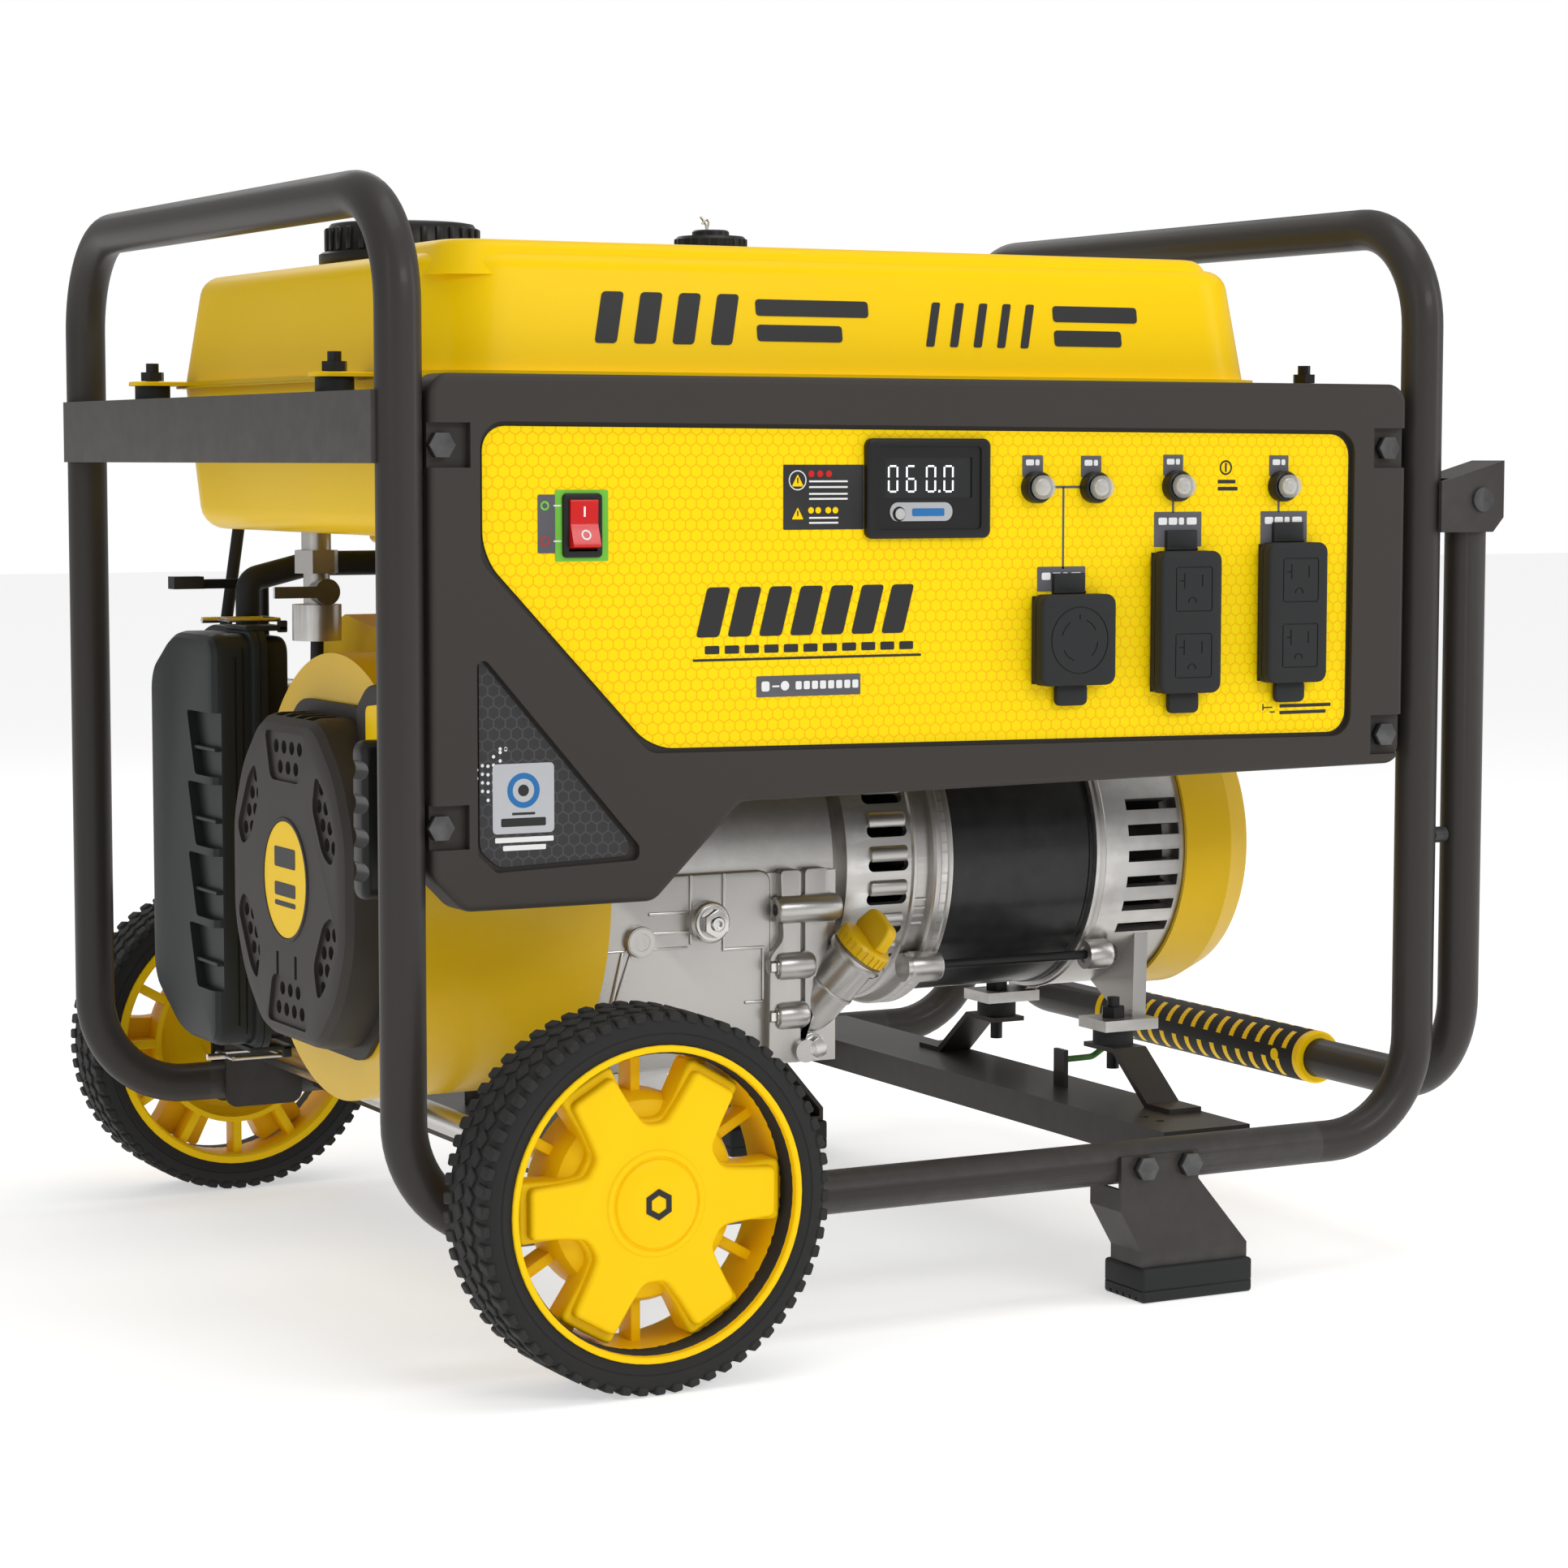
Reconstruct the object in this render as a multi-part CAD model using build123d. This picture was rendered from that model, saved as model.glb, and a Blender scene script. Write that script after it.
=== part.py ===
from build123d import *
import math
import os

# Portable generator on a tubular frame with two wheels, two legs and a fold-down
# handle. Millimetres, +Z up, floor at z = 0. The control panel faces -Y, the
# recoil starter is at -X and the handle at +X. Dimensions are worked out about
# the middle of the frame and every piece is moved by origin_shift_x at the end,
# so the origin is under the middle of the whole machine.

# ---- frame
tube_r = 12.7
tube_wall = 1.6
frame_x = 337.7           # middle of the uprights
frame_y = 268.8
rail_z = 82.9
top_z = 644.6
bend_r = 62.0
rail_end_x = 262.0        # where the hoops are welded to the rails
band_z0, band_z1 = 499.0, 538.0
band_t = 3.0
flange_in_x = 312.0
flange_half_y = 200.0
beam_top_z = 95.6
beam_h = 20.0
beam_w = 63.0
beam_t = 3.0
beam_left_x, beam_right_x = -158.0, 193.5
sheet_t = 3.0

# ---- wheels and axle
wheel_x, wheel_z = -225.4, 104.1
tyre_r, tyre_seat_r, rim_r = 104.1, 80.0, 86.2
wheel_y0, wheel_y1 = 300.3, 354.1
hub_r, hub_cap_r = 22.0, 24.7
axle_r = 8.0
running_gap = 0.05
spoke_count = 6

# ---- support legs
leg_bolt_x = (128.8, 160.1)
leg_bolt_z = 81.6
foot_h = 21.0

# ---- fold-down handle
handle_x, pivot_z = 373.0, 477.0
handle_low_z = 107.0
handle_bend_r = 60.0
grip_half, grip_r = 124.0, 17.5
pin_r = 6.0

# ---- fuel tank
tank_x0, tank_x1, tank_y0, tank_y1 = -306.0, 246.0, -240.0, 200.0
tank_corner = 45.0
seam_z = 548.5
tank_wall = 2.0
tank_top_z, hump_h = 616.0, 6.0
tank_low_z, sump_z = 457.0, 449.5
draft = 8.0
mount_x, mount_y = 330.0, 157.0
cap_x, cap_y, cap_r = -212.0, 30.0, 51.0
neck_r = 36.0
vent_x, vent_y = 0.0, 30.0

# ---- control panel
rim_y, fascia_y, panel_back_y = -281.0, -277.0, -257.0
box_back_y = -200.0
panel_bolts = ((-317.4, 508.7), (-319.3, 304.2), (305.2, 508.4), (305.5, 334.0))
switch_x, switch_z = -234.9, 465.4
display_x0, display_x1, display_z0, display_z1 = -59.3, 21.8, 456.5, 513.2
breaker_at = ((53.6, 485.3), (93.6, 485.1), (150.9, 485.8), (226.7, 485.5))
outlet_at = (("twist_lock", 76.9, 396.9, 51.0, 53.0),
             ("duplex_inner", 155.1, 405.7, 43.0, 84.0),
             ("duplex_outer", 231.8, 410.0, 43.0, 84.0))
cover_front_y, cover_back_y = -291.0, -279.4
hinge_y, hinge_rise = -279.2, 1.0
rocker_pin_r = 1.4

# ---- engine and alternator, one shaft along X
shaft_y, shaft_z, shaft_r = -50.0, 254.0, 17.5
case_x0, case_x1, case_r = -170.0, 5.0, 97.0
case_front_y, case_low_z = -150.0, 138.0
cylinder_tilt = 25.0
cylinder_x = -95.0
bell_x1, stator_x1, rear_x1, cover_x1 = 77.0, 184.0, 250.0, 308.0
stator_r, rotor_r = 91.5, 61.5
rear_r, end_cover_r = 95.0, 98.0
blower_x0, blower_x1, blower_r = -290.0, -172.5, 133.0
recoil_r, recoil_face_x = 97.0, -322.0
alt_mount_x, alt_mount_y = 222.0, 72.0      # mount offset from the shaft, each side
neck_at = (3.5, -159.5, 204.0)
neck_foot = (-31.0, -128.0, 150.0)

# ---- intake side
filter_y0, filter_y1 = 98.0, 222.0
filter_x0, filter_x1, filter_x2 = -314.0, -283.0, -262.0
carb_y, carb_z = 136.0, 340.0
tap_x, tap_y, tap_z = -272.0, 25.0, 421.0
lever_stand_off = 15.8                      # tap lever's back, ahead of the tap's middle
choke_x, choke_y = -248.0, 182.0
clip_y = 121.0
starter_y, starter_z = -178.0, 300.0

handle_outer_x = handle_x + grip_r
band_outer_x = frame_x + tube_r + band_t
origin_shift_x = -(handle_outer_x - band_outer_x) / 2


# ---- small helpers
def block(x0, x1, y0, y1, z0, z1):
    middle = Pos((x0 + x1) / 2, (y0 + y1) / 2, (z0 + z1) / 2)
    return middle * Box(x1 - x0, y1 - y0, z1 - z0)


def rod_x(x0, x1, y, z, r):
    return Pos((x0 + x1) / 2, y, z) * Rot(0, 90, 0) * Cylinder(r, x1 - x0)


def rod_y(x, y0, y1, z, r):
    return Pos(x, (y0 + y1) / 2, z) * Rot(90, 0, 0) * Cylinder(r, y1 - y0)


def rod_z(x, y, z0, z1, r):
    return Pos(x, y, (z0 + z1) / 2) * Cylinder(r, z1 - z0)


def rod_between(start, end, r):
    line = Line(start, end)
    return sweep(Plane(start, z_dir=line % 0) * Circle(r), path=line)


def outline(points, corner=0.0):
    face = make_face(Polyline(*points, close=True))
    return fillet(face.vertices(), corner) if corner else face


def prism_x(points, x0, x1, corner=0.0):
    return extrude(Plane.YZ.offset(x0) * outline(points, corner), x1 - x0)


def prism_y(points, y0, y1, corner=0.0):
    return extrude(Plane.XZ.offset(-y1) * outline(points, corner), y1 - y0)


def prism_z(points, z0, z1, corner=0.0):
    return extrude(Plane.XY.offset(z0) * outline(points, corner), z1 - z0)


def turned_x(profile):
    plane = Plane(origin=(0, shaft_y, shaft_z), x_dir=(1, 0, 0), z_dir=(0, -1, 0))
    face = plane * make_face(Polyline(*profile, close=True))
    return revolve(face, Axis((0, shaft_y, shaft_z), (1, 0, 0)))


def turned_wheel(profile):
    # profile points are (distance out from the middle of the machine, radius)
    plane = Plane(origin=(wheel_x, 0, wheel_z), x_dir=(0, -1, 0), z_dir=(-1, 0, 0))
    face = plane * make_face(Polyline(*profile, close=True))
    return revolve(face, Axis((wheel_x, 0, wheel_z), (0, 1, 0)))


def tube(points, radius, r=tube_r, wall=tube_wall):
    path = FilletPolyline(*points, radius=radius)
    section = Circle(r) - Circle(r - wall) if wall else Circle(r)
    return sweep(Plane(path @ 0, z_dir=path % 0) * section, path=path)


def bolt_z(x, y, z0, z1, head_z, r=4.0, head_r=7.5, head_h=5.5):
    head = Pos(x, y, head_z + head_h / 2) * extrude(RegularPolygon(head_r, 6), head_h / 2, both=True)
    return rod_z(x, y, z0, z1, r) + head


def bolt_y(x, z, head_y, end_y, r=4.0, head_r=7.5, head_h=5.5):
    head = extrude(Plane.XZ.offset(-head_y) * Pos(x, z) * RegularPolygon(head_r, 6), head_h)
    return rod_y(x, head_y, end_y, z, r) + head


def mirrored_y(shape):
    return shape + mirror(shape, Plane.XZ)


# ---- frame
def end_hoop(side):
    x, x_end = side * frame_x, side * rail_end_x
    hoop = tube([(x_end, -frame_y, rail_z), (x, -frame_y, rail_z), (x, -frame_y, top_z),
                 (x, frame_y, top_z), (x, frame_y, rail_z), (x_end, frame_y, rail_z)], bend_r)
    for bolt_x, bolt_z in panel_bolts:
        if bolt_x * side > 0:
            edge = sorted((side * 339.0, side * 298.0))
            tab = block(edge[0], edge[1], panel_back_y, panel_back_y + sheet_t, bolt_z - 13, bolt_z + 13)
            hoop += tab - rod_y(bolt_x, panel_back_y - 1, panel_back_y + 5, bolt_z, 4.0)
    if side > 0:
        hoop += mirrored_y(handle_bracket())
    return hoop


def handle_bracket():
    # clevis on the outside of the upright, closed on top, open below
    y0, y1 = -frame_y - 16.0, -frame_y + 16.0
    side_view = [(342, 457), (382, 457), (390, 466), (390, 501), (350, 490), (342, 488)]
    cheek = prism_y(side_view, y0, y0 + sheet_t) + prism_y(side_view, y1 - sheet_t, y1)
    web = block(350.0, 353.0, y0, y1, 457, 490)
    roof = prism_y([(350, 487.5), (390, 498.5), (390, 501), (350, 490)], y0, y1)
    bracket = cheek + web + roof
    bracket -= rod_y(handle_x, y0 - 1, y1 + 1, pivot_z, pin_r)
    return bracket


def bottom_rails():
    rail = rod_x(-rail_end_x, rail_end_x, -frame_y, rail_z, tube_r)
    rail -= rod_x(-rail_end_x, rail_end_x, -frame_y, rail_z, tube_r - tube_wall)
    for y0 in (-frame_y - tube_r - sheet_t + 0.3, -frame_y + tube_r - 0.3):
        plate = block(wheel_x - 27, wheel_x + 27, y0, y0 + sheet_t, 66, 124)
        rail += fillet(plate.edges().filter_by(Axis.Y), 8)
    rail -= rod_y(wheel_x, -300, -240, wheel_z, axle_r)
    for x in leg_bolt_x:
        rail -= rod_y(x, -300, -240, leg_bolt_z, 4.0)
    return mirrored_y(rail)


def side_bands():
    bands = Part()
    for side in (-1, 1):
        inner, outer = frame_x + tube_r, band_outer_x
        x0, x1 = sorted((side * inner, side * outer))
        band = block(x0, x1, -frame_y, frame_y, band_z0, band_z1)
        x0, x1 = sorted((side * flange_in_x, side * outer))
        band += block(x0, x1, -flange_half_y, flange_half_y, band_z1 - band_t, band_z1)
        for y in (-mount_y, mount_y):
            band -= rod_z(side * mount_x, y, band_z1 - 5, band_z1 + 1, 4.0)
        bands += band
    return bands


def channel(x_mid):
    half, reach = beam_w / 2, frame_y - tube_r
    beam = block(x_mid - half, x_mid + half, -reach, reach, beam_top_z - beam_h, beam_top_z)
    beam -= block(x_mid - half + beam_t, x_mid + half - beam_t, -reach, reach,
                  beam_top_z - beam_h, beam_top_z - beam_t)
    for y in (-222, -205, 205, 222):
        beam -= rod_z(x_mid - 12, y, beam_top_z - 5, beam_top_z + 1, 3.0)
    return beam


def mount_strap(side):
    # bent strap that rises from the beam to the rubber under the alternator foot
    def at(distance):
        return shaft_y + side * distance

    bent = [(at(155), 95.6), (at(155), 98.6), (at(130), 98.6), (at(92), 128), (at(56), 128),
            (at(56), 125), (at(90), 125), (at(127), 95.6)]
    strap = prism_x(bent, alt_mount_x - 22, alt_mount_x + 2)
    return strap - rod_z(alt_mount_x - 10, at(alt_mount_y), 120, 130, 4.0)


def cross_beams():
    right = channel(beam_right_x) + mount_strap(-1) + mount_strap(1)
    right += block(195.5, 198.5, -90, -77, beam_top_z - 1, 120)
    return channel(beam_left_x) + right


def support_leg():
    side_view = [(113, 89), (168, 89), (168, 72), (203.5, 30), (203.5, foot_h), (128, foot_h),
                 (128, 30), (113, 56)]
    hollow = [(116, 95), (165, 95), (165, 71), (200.5, 29), (200.5, foot_h + 3), (131, foot_h + 3),
              (131, 30), (116, 57)]
    front = -frame_y - tube_r - sheet_t
    leg = prism_y(side_view, front, front + 34) - prism_y(hollow, front + sheet_t, front + 40)
    leg -= rod_x(100, 215, -frame_y, rail_z, tube_r)
    leg -= block(100, 215, front + sheet_t, front + 40, 69, 100)
    for x in leg_bolt_x:
        leg -= rod_y(x, front - 1, front + 5, leg_bolt_z, 4.0)
    return leg


def support_legs():
    return mirrored_y(support_leg())


def leg_feet():
    foot = block(126, 205, -289, -246, 0, foot_h)
    return mirrored_y(fillet(foot.edges().filter_by(Axis.Z), 3))


def rubber_mounts():
    mounts = Part()
    for x in (-mount_x, mount_x):
        for y in (-mount_y, mount_y):
            mounts += rod_z(x, y, band_z1, seam_z - 1.5, 11) - rod_z(x, y, band_z1, seam_z, 4.0)
    for side in (-1, 1):
        y = shaft_y + side * alt_mount_y
        mounts += rod_z(alt_mount_x - 10, y, 128, 138, 13) - rod_z(alt_mount_x - 10, y, 128, 138, 4.0)
        mounts += rod_z(beam_left_x, shaft_y + side * 80, beam_top_z, 121, 15)
    return mounts


def fasteners():
    group = Part()
    front = -frame_y - tube_r - sheet_t
    for x in leg_bolt_x:
        group += mirrored_y(bolt_y(x, leg_bolt_z, front, -frame_y + tube_r))
    for x, z in panel_bolts:
        group += bolt_y(x, z, rim_y + 5.5, panel_back_y + 6)
    for x in (-mount_x, mount_x):
        for y in (-mount_y, mount_y):
            group += bolt_z(x, y, band_z1 - 9, 561, seam_z + 1.5)
    for side in (-1, 1):
        group += bolt_z(alt_mount_x - 10, shaft_y + side * alt_mount_y, 112, 158, 145, 4.0, 8.0, 7.0)
        pin = rod_y(handle_x, -frame_y - 16, -frame_y + 16, pivot_z, pin_r)
        pin += rod_y(handle_x, -frame_y - 18, -frame_y - 16, pivot_z, 7.5)
        stud = rod_x(frame_x + tube_r, handle_x - tube_r - 0.4, -frame_y, 269, 5.0)
        group += pin + stud if side < 0 else mirror(pin + stud, Plane.XZ)
    for angle in (40, 140, 220, 320):
        y = shaft_y + 103 * math.cos(math.radians(angle))
        z = shaft_z + 103 * math.sin(math.radians(angle))
        group += rod_x(66, 206, y, z, 3.0) + rod_x(202, 207, y, z, 5.5)
    return group


# ---- wheels
def axle():
    ends = rod_y(wheel_x, -349, 349, wheel_z, axle_r)
    inner = frame_y + tube_r + sheet_t - 0.3
    for side in (-1, 1):
        y0, y1 = sorted((side * inner, side * (wheel_y0 - 0.4)))
        ends += rod_y(wheel_x, y0, y1, wheel_z, 13)
    return ends


def wheel_rim():
    # outer half of the profile, as (distance out, radius)
    barrel = turned_wheel([(300.3, 72), (300.3, rim_r), (303.3, rim_r), (303.3, tyre_seat_r),
                           (351.1, tyre_seat_r), (351.1, rim_r), (353.8, rim_r), (353.8, 77),
                           (304, 74)])
    hub = turned_wheel([(300.8, axle_r + running_gap), (300.8, hub_r), (350, hub_r),
                        (350, hub_cap_r), (353.8, hub_cap_r), (353.8, 0), (350.5, 0),
                        (350.5, axle_r + running_gap)])
    ring = turned_wheel([(336, hub_r - 1), (336, 60), (341, 60), (341, hub_r - 1)])
    spoke = Pos(wheel_x, -343, wheel_z) * Pos(0, 0, 48) * Box(30, 12, 58)
    rim = barrel + hub + ring
    for turn in range(spoke_count):
        rim += spoke.rotate(Axis((wheel_x, 0, wheel_z), (0, 1, 0)), turn * 360 / spoke_count)
    return rim


def wheel_tyre():
    return turned_wheel([(303.3, tyre_seat_r), (303.3, rim_r + 0.01), (wheel_y0, rim_r + 0.01),
                         (wheel_y0, tyre_r - 8), (wheel_y0 + 7, tyre_r), (wheel_y1 - 7, tyre_r),
                         (wheel_y1, tyre_r - 8), (wheel_y1, rim_r + 0.01), (351.1, rim_r + 0.01),
                         (351.1, tyre_seat_r)])


# ---- handle
def handle_tube():
    y, top = frame_y, pivot_z + 9.5
    bow = tube([(handle_x, -y, top), (handle_x, -y, handle_low_z), (handle_x, y, handle_low_z),
                (handle_x, y, top)], handle_bend_r)
    return bow - rod_y(handle_x, -300, 300, pivot_z, pin_r + running_gap)


def handle_grip():
    sleeve = rod_y(handle_x, -grip_half, grip_half, handle_low_z, grip_r)
    return sleeve - rod_y(handle_x, -grip_half, grip_half, handle_low_z, tube_r)


# ---- tank
def tank_plan(grow=0.0):
    size_x, size_y = tank_x1 - tank_x0 + 2 * grow, tank_y1 - tank_y0 + 2 * grow
    middle = Pos((tank_x0 + tank_x1) / 2, (tank_y0 + tank_y1) / 2)
    return middle * RectangleRounded(size_x, size_y, tank_corner + grow)


def tank_flange(z0, z1):
    plate = extrude(Pos(0, 0, z0) * tank_plan(6), z1 - z0)
    return plate - extrude(Pos(0, 0, z0) * tank_plan(-tank_wall), z1 - z0)


def tank_ears():
    # four mounting ears, flush against the flange's edge
    z0, z1 = seam_z - 1.5, seam_z + 1.5
    ears = Part()
    for side in (-1, 1):
        edge = tank_x0 if side < 0 else tank_x1
        x0, x1 = sorted((edge + side * 1.0, side * (mount_x + 14)))
        for y in (-mount_y, mount_y):
            ears += block(x0, x1, y - 17, y + 17, z0, z1) - rod_z(side * mount_x, y, z0, z1, 4.0)
    return ears - extrude(Pos(0, 0, z0) * tank_plan(6), z1 - z0)


def tank_upper():
    base_z = seam_z
    height = tank_top_z - base_z
    shell = extrude(Pos(0, 0, base_z) * tank_plan(), height, taper=draft)
    hump = [(-225, -222), (222, -222), (222, 182), (-140, 182), (-140, -30), (-225, -100)]
    shell += extrude(Plane.XY.offset(tank_top_z) * outline(hump, 22), hump_h, taper=30)
    shell += rod_z(cap_x, cap_y, tank_top_z - 4, tank_top_z + 12, neck_r)
    hollow = extrude(Pos(0, 0, base_z) * tank_plan(-tank_wall), height - tank_wall, taper=draft)
    shell -= hollow
    shell -= rod_z(cap_x, cap_y, tank_top_z - 10, tank_top_z + 13, neck_r - 3)
    return shell + tank_flange(base_z, base_z + 1.5)


def tank_lower():
    depth = seam_z - tank_low_z
    down = (0, 0, -1)
    shell = extrude(Pos(0, 0, seam_z) * tank_plan(), depth, dir=down, taper=5)
    shell += block(-232, 60, -190, 60, sump_z, tank_low_z + 4)
    shell -= extrude(Pos(0, 0, seam_z) * tank_plan(-tank_wall), depth - tank_wall, dir=down, taper=5)
    shell -= block(-230, 58, -188, 58, sump_z + tank_wall, tank_low_z + 5)
    return shell + tank_flange(seam_z - 1.5, seam_z)


def fuel_cap():
    cap = rod_z(cap_x, cap_y, tank_top_z + 3, tank_top_z + 29, cap_r)
    cap = chamfer(cap.edges().sort_by(Axis.Z)[-1], 5)
    cap -= rod_z(cap_x, cap_y, tank_top_z + 2, tank_top_z + 13, neck_r + 1)
    return cap


def vent_valve():
    top = tank_top_z + hump_h
    steps = [(0, 12, 27), (12, 21, 22.8), (21, 25, 12)]
    valve = Part()
    for low, high, r in steps:
        valve += rod_z(vent_x, vent_y, top + low, top + high, r)
    return valve


# ---- hoses held by the machine, each a route of straight runs and tangent arcs
def hoses():
    top = tank_top_z + hump_h
    fuel = [(tap_x, tap_y, 390.8), (tap_x, tap_y + 1, 374), (-257, 78, 354), (-250, 108, 322),
            (-240, 122, 303)]
    breather = [(-270, 152, 390.2), (-270, 152, 424), (-225, 160, 434), (-160, 160, 434),
                (-113, 139.2, 423.3), (-113, 148.5, 403.4)]
    vent = [(vent_x - 28.2, vent_y + 4, top + 5), (-70, 60, top + 6), (-120, 130, top + 6),
            (-165, 205, top + 2), (-205, 222, 585), (-228, 228, 530), (-250, 222, 460), (-270, 201, 378)]
    group = tube(fuel, [8, 15, 15], 4.0, 0)
    group += tube(breather, [9, 14, 18, 14], 8.0, 0)
    group += tube(vent, [20, 30, 20, 20, 25, 25], 4.0, 0)
    return group


def ground_wires():
    points = [(199.2, -83.5, 113), (222, -82, 113), (240, -88, 127), (242, -104, 144), (238.2, -118, 149.5)]
    return tube(points, [7, 7, 7], 2.0, 0)


# ---- control panel
def panel_outline(grow=0.0):
    g = grow
    return [(-324.5 - g, 547 + g), (318 + g, 547 + g), (318 + g, 316 - g), (-138 - g, 311 - g),
            (-192 - g, 258 - g), (-306 - g, 258 - g), (-324.5 - g, 277 - g)]


def fascia_outline(grow=0.0):
    g = grow
    return [(-293.4 - g, 519 + g), (276.5 + g, 516.5 + g), (276 + g, 336.5 - g), (-193 - g, 342.5 - g),
            (-293.4 - g, 449 - g)]


def side_fascia_outline(grow=0.0):
    g = grow
    return [(-296 - g, 395 + 2 * g), (-207 + 2 * g, 292 - g), (-207 + 2 * g, 284 - g), (-285 - g, 281 - g),
            (-296 - g, 291 - g)]


def panel_fascias():
    main = prism_y(fascia_outline(), fascia_y, fascia_y + 0.6, 13)
    side = prism_y(side_fascia_outline(), fascia_y, fascia_y + 0.6, 3)
    return main + side - instrument_holes()


def instrument_holes():
    y0, y1 = rim_y - 20, panel_back_y + 1
    holes = block(switch_x - 10, switch_x + 10, y0, y1, switch_z - 15.5, switch_z + 15.5)
    holes += block(display_x0 + 6, display_x1 - 6, y0, y1, display_z0 + 6, display_z1 - 6)
    for x, z in breaker_at:
        holes += rod_y(x, y0, y1, z, 7.5)
    for name, x, z, width, height in outlet_at:
        holes += block(x - width / 2 + 6, x + width / 2 - 6, y0, y1, z - height / 2 + 6, z + height / 2 - 6)
    return holes


def panel_housing():
    shell = prism_y(panel_outline(), rim_y, panel_back_y, 12)
    shell = fillet(shell.edges().filter_by_position(Axis.Y, rim_y - 0.1, rim_y + 0.1), 4)
    shell -= prism_y(fascia_outline(2.5), rim_y - 1, fascia_y + 0.6, 14)
    shell -= prism_y(side_fascia_outline(2.5), rim_y - 1, fascia_y + 0.6, 4)
    shell -= prism_y(panel_outline(-4), fascia_y + 5, panel_back_y + 1, 8)
    for x, z in panel_bolts:
        shell -= block(x - 12, x + 16, rim_y - 1, rim_y + 5.5, z - 12, z + 12)
        boss = block(x - 9, x + 9, rim_y + 5.5, panel_back_y, z - 9, z + 9)
        shell += boss & prism_y(panel_outline(), rim_y, panel_back_y, 12)
        shell -= rod_y(x, rim_y, panel_back_y + 1, z, 4.0)
    box = block(-280, 285, panel_back_y, box_back_y, 326, 440)
    box -= block(-277, 282, panel_back_y - 1, box_back_y - 3, 329, 437)
    rear = prism_y(panel_outline(-4.2), panel_back_y - 2, panel_back_y, 8)
    rear -= block(-277, 282, panel_back_y - 3, panel_back_y + 1, 329, 437)
    for x, z in panel_bolts:
        rear -= block(x - 9.2, x + 9.2, panel_back_y - 3, panel_back_y + 1, z - 9.2, z + 9.2)
    shell += box + rear
    for name, x, z, width, height in outlet_at:
        shell -= block(x - width / 2 + 6, x + width / 2 - 6, fascia_y, box_back_y - 4,
                       z - height / 2 + 6, z + height / 2 - 6)
    return shell - instrument_holes()


def switch_bezel():
    bezel = block(switch_x - 11.75, switch_x + 11.75, fascia_y - 3, fascia_y, switch_z - 17.5, switch_z + 17.5)
    bezel += block(switch_x - 10, switch_x + 10, fascia_y, panel_back_y - 1, switch_z - 15.5, switch_z + 15.5)
    bezel -= block(switch_x - 8.5, switch_x + 8.5, fascia_y - 4, panel_back_y - 3, switch_z - 14, switch_z + 14)
    return bezel - rod_x(switch_x - 9.4, switch_x + 9.4, fascia_y + 2, switch_z, rocker_pin_r + running_gap)


def power_rocker():
    # two flat faces that meet in a shallow valley, turned so that the top is pressed
    axis_y = fascia_y + 2
    half = [(axis_y - 9, 13), (axis_y - 6.5, 0), (axis_y - 9, -13), (axis_y, -13), (axis_y + 1, 0), (axis_y, 13)]
    rocker = prism_x([(y, z + switch_z) for y, z in half], switch_x - 8.2, switch_x + 8.2)
    rocker = rocker.rotate(Axis((0, axis_y, switch_z), (1, 0, 0)), -9)
    return rocker + rod_x(switch_x - 9.3, switch_x + 9.3, axis_y, switch_z, rocker_pin_r)


def display_module():
    module = block(display_x0, display_x1, fascia_y - 5, fascia_y, display_z0, display_z1)
    module = fillet(module.edges().filter_by(Axis.Y), 4)
    module += block(display_x0 + 6, display_x1 - 6, fascia_y, panel_back_y - 1, display_z0 + 6, display_z1 - 6)
    return module - rod_y(display_x0 + 20.7, fascia_y - 6, fascia_y + 3, display_z0 + 14, 3.25)


def display_button():
    return rod_y(display_x0 + 20.7, fascia_y - 6, fascia_y + 1.5, display_z0 + 14, 3.2)


def breaker_bodies():
    bodies = Part()
    for x, z in breaker_at:
        body = rod_y(x, fascia_y - 8, fascia_y, z, 9.25) + rod_y(x, fascia_y, panel_back_y - 1, z, 7.5)
        bodies += body - rod_y(x, fascia_y - 9, fascia_y + 12, z, 5.05)
    return bodies


def breaker_button(x, z):
    return rod_y(x, fascia_y - 12.5, fascia_y + 7, z, 5.0)


def outlet_sockets():
    sockets = Part()
    for name, x, z, width, height in outlet_at:
        top = z + height / 2
        body = block(x - width / 2 + 6, x + width / 2 - 6, fascia_y, -214, z - height / 2 + 6, top - 6)
        gasket = block(x - width / 2 + 1, x + width / 2 - 1, fascia_y - 2.1, fascia_y, z - height / 2 + 1, top - 1)
        strap = block(x - 11, x + 11, fascia_y - 2.1, fascia_y, top - 2, top + 12)
        bead = rod_x(x - 11, x + 11, hinge_y, top + hinge_rise, 0.9)
        socket = body + gasket + strap + bead
        rows = [0] if name == "twist_lock" else [-19, 19]
        for dz in rows:
            for dx in (-6.5, 6.5):
                socket -= block(x + dx - 1, x + dx + 1, fascia_y - 3, fascia_y + 14, z + dz - 2, z + dz + 6)
            socket -= rod_y(x, fascia_y - 3, fascia_y + 14, z + dz - 8, 2.5)
        sockets += socket
    return sockets


def outlet_cover(x, z, width, height):
    cover = block(x - width / 2, x + width / 2, cover_front_y, cover_back_y, z - height / 2, z + height / 2)
    cover = fillet(cover.edges().filter_by(Axis.Y), 5)
    cover += block(x - 11, x + 11, cover_back_y - 4, cover_back_y - 0.5, z - height / 2 - 12, z - height / 2 + 1)
    inner = block(x - width / 2 + 2.5, x + width / 2 - 2.5, cover_front_y + 3, cover_back_y + 1,
                  z - height / 2 + 2.5, z + height / 2 - 2.5)
    return cover - inner


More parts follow.
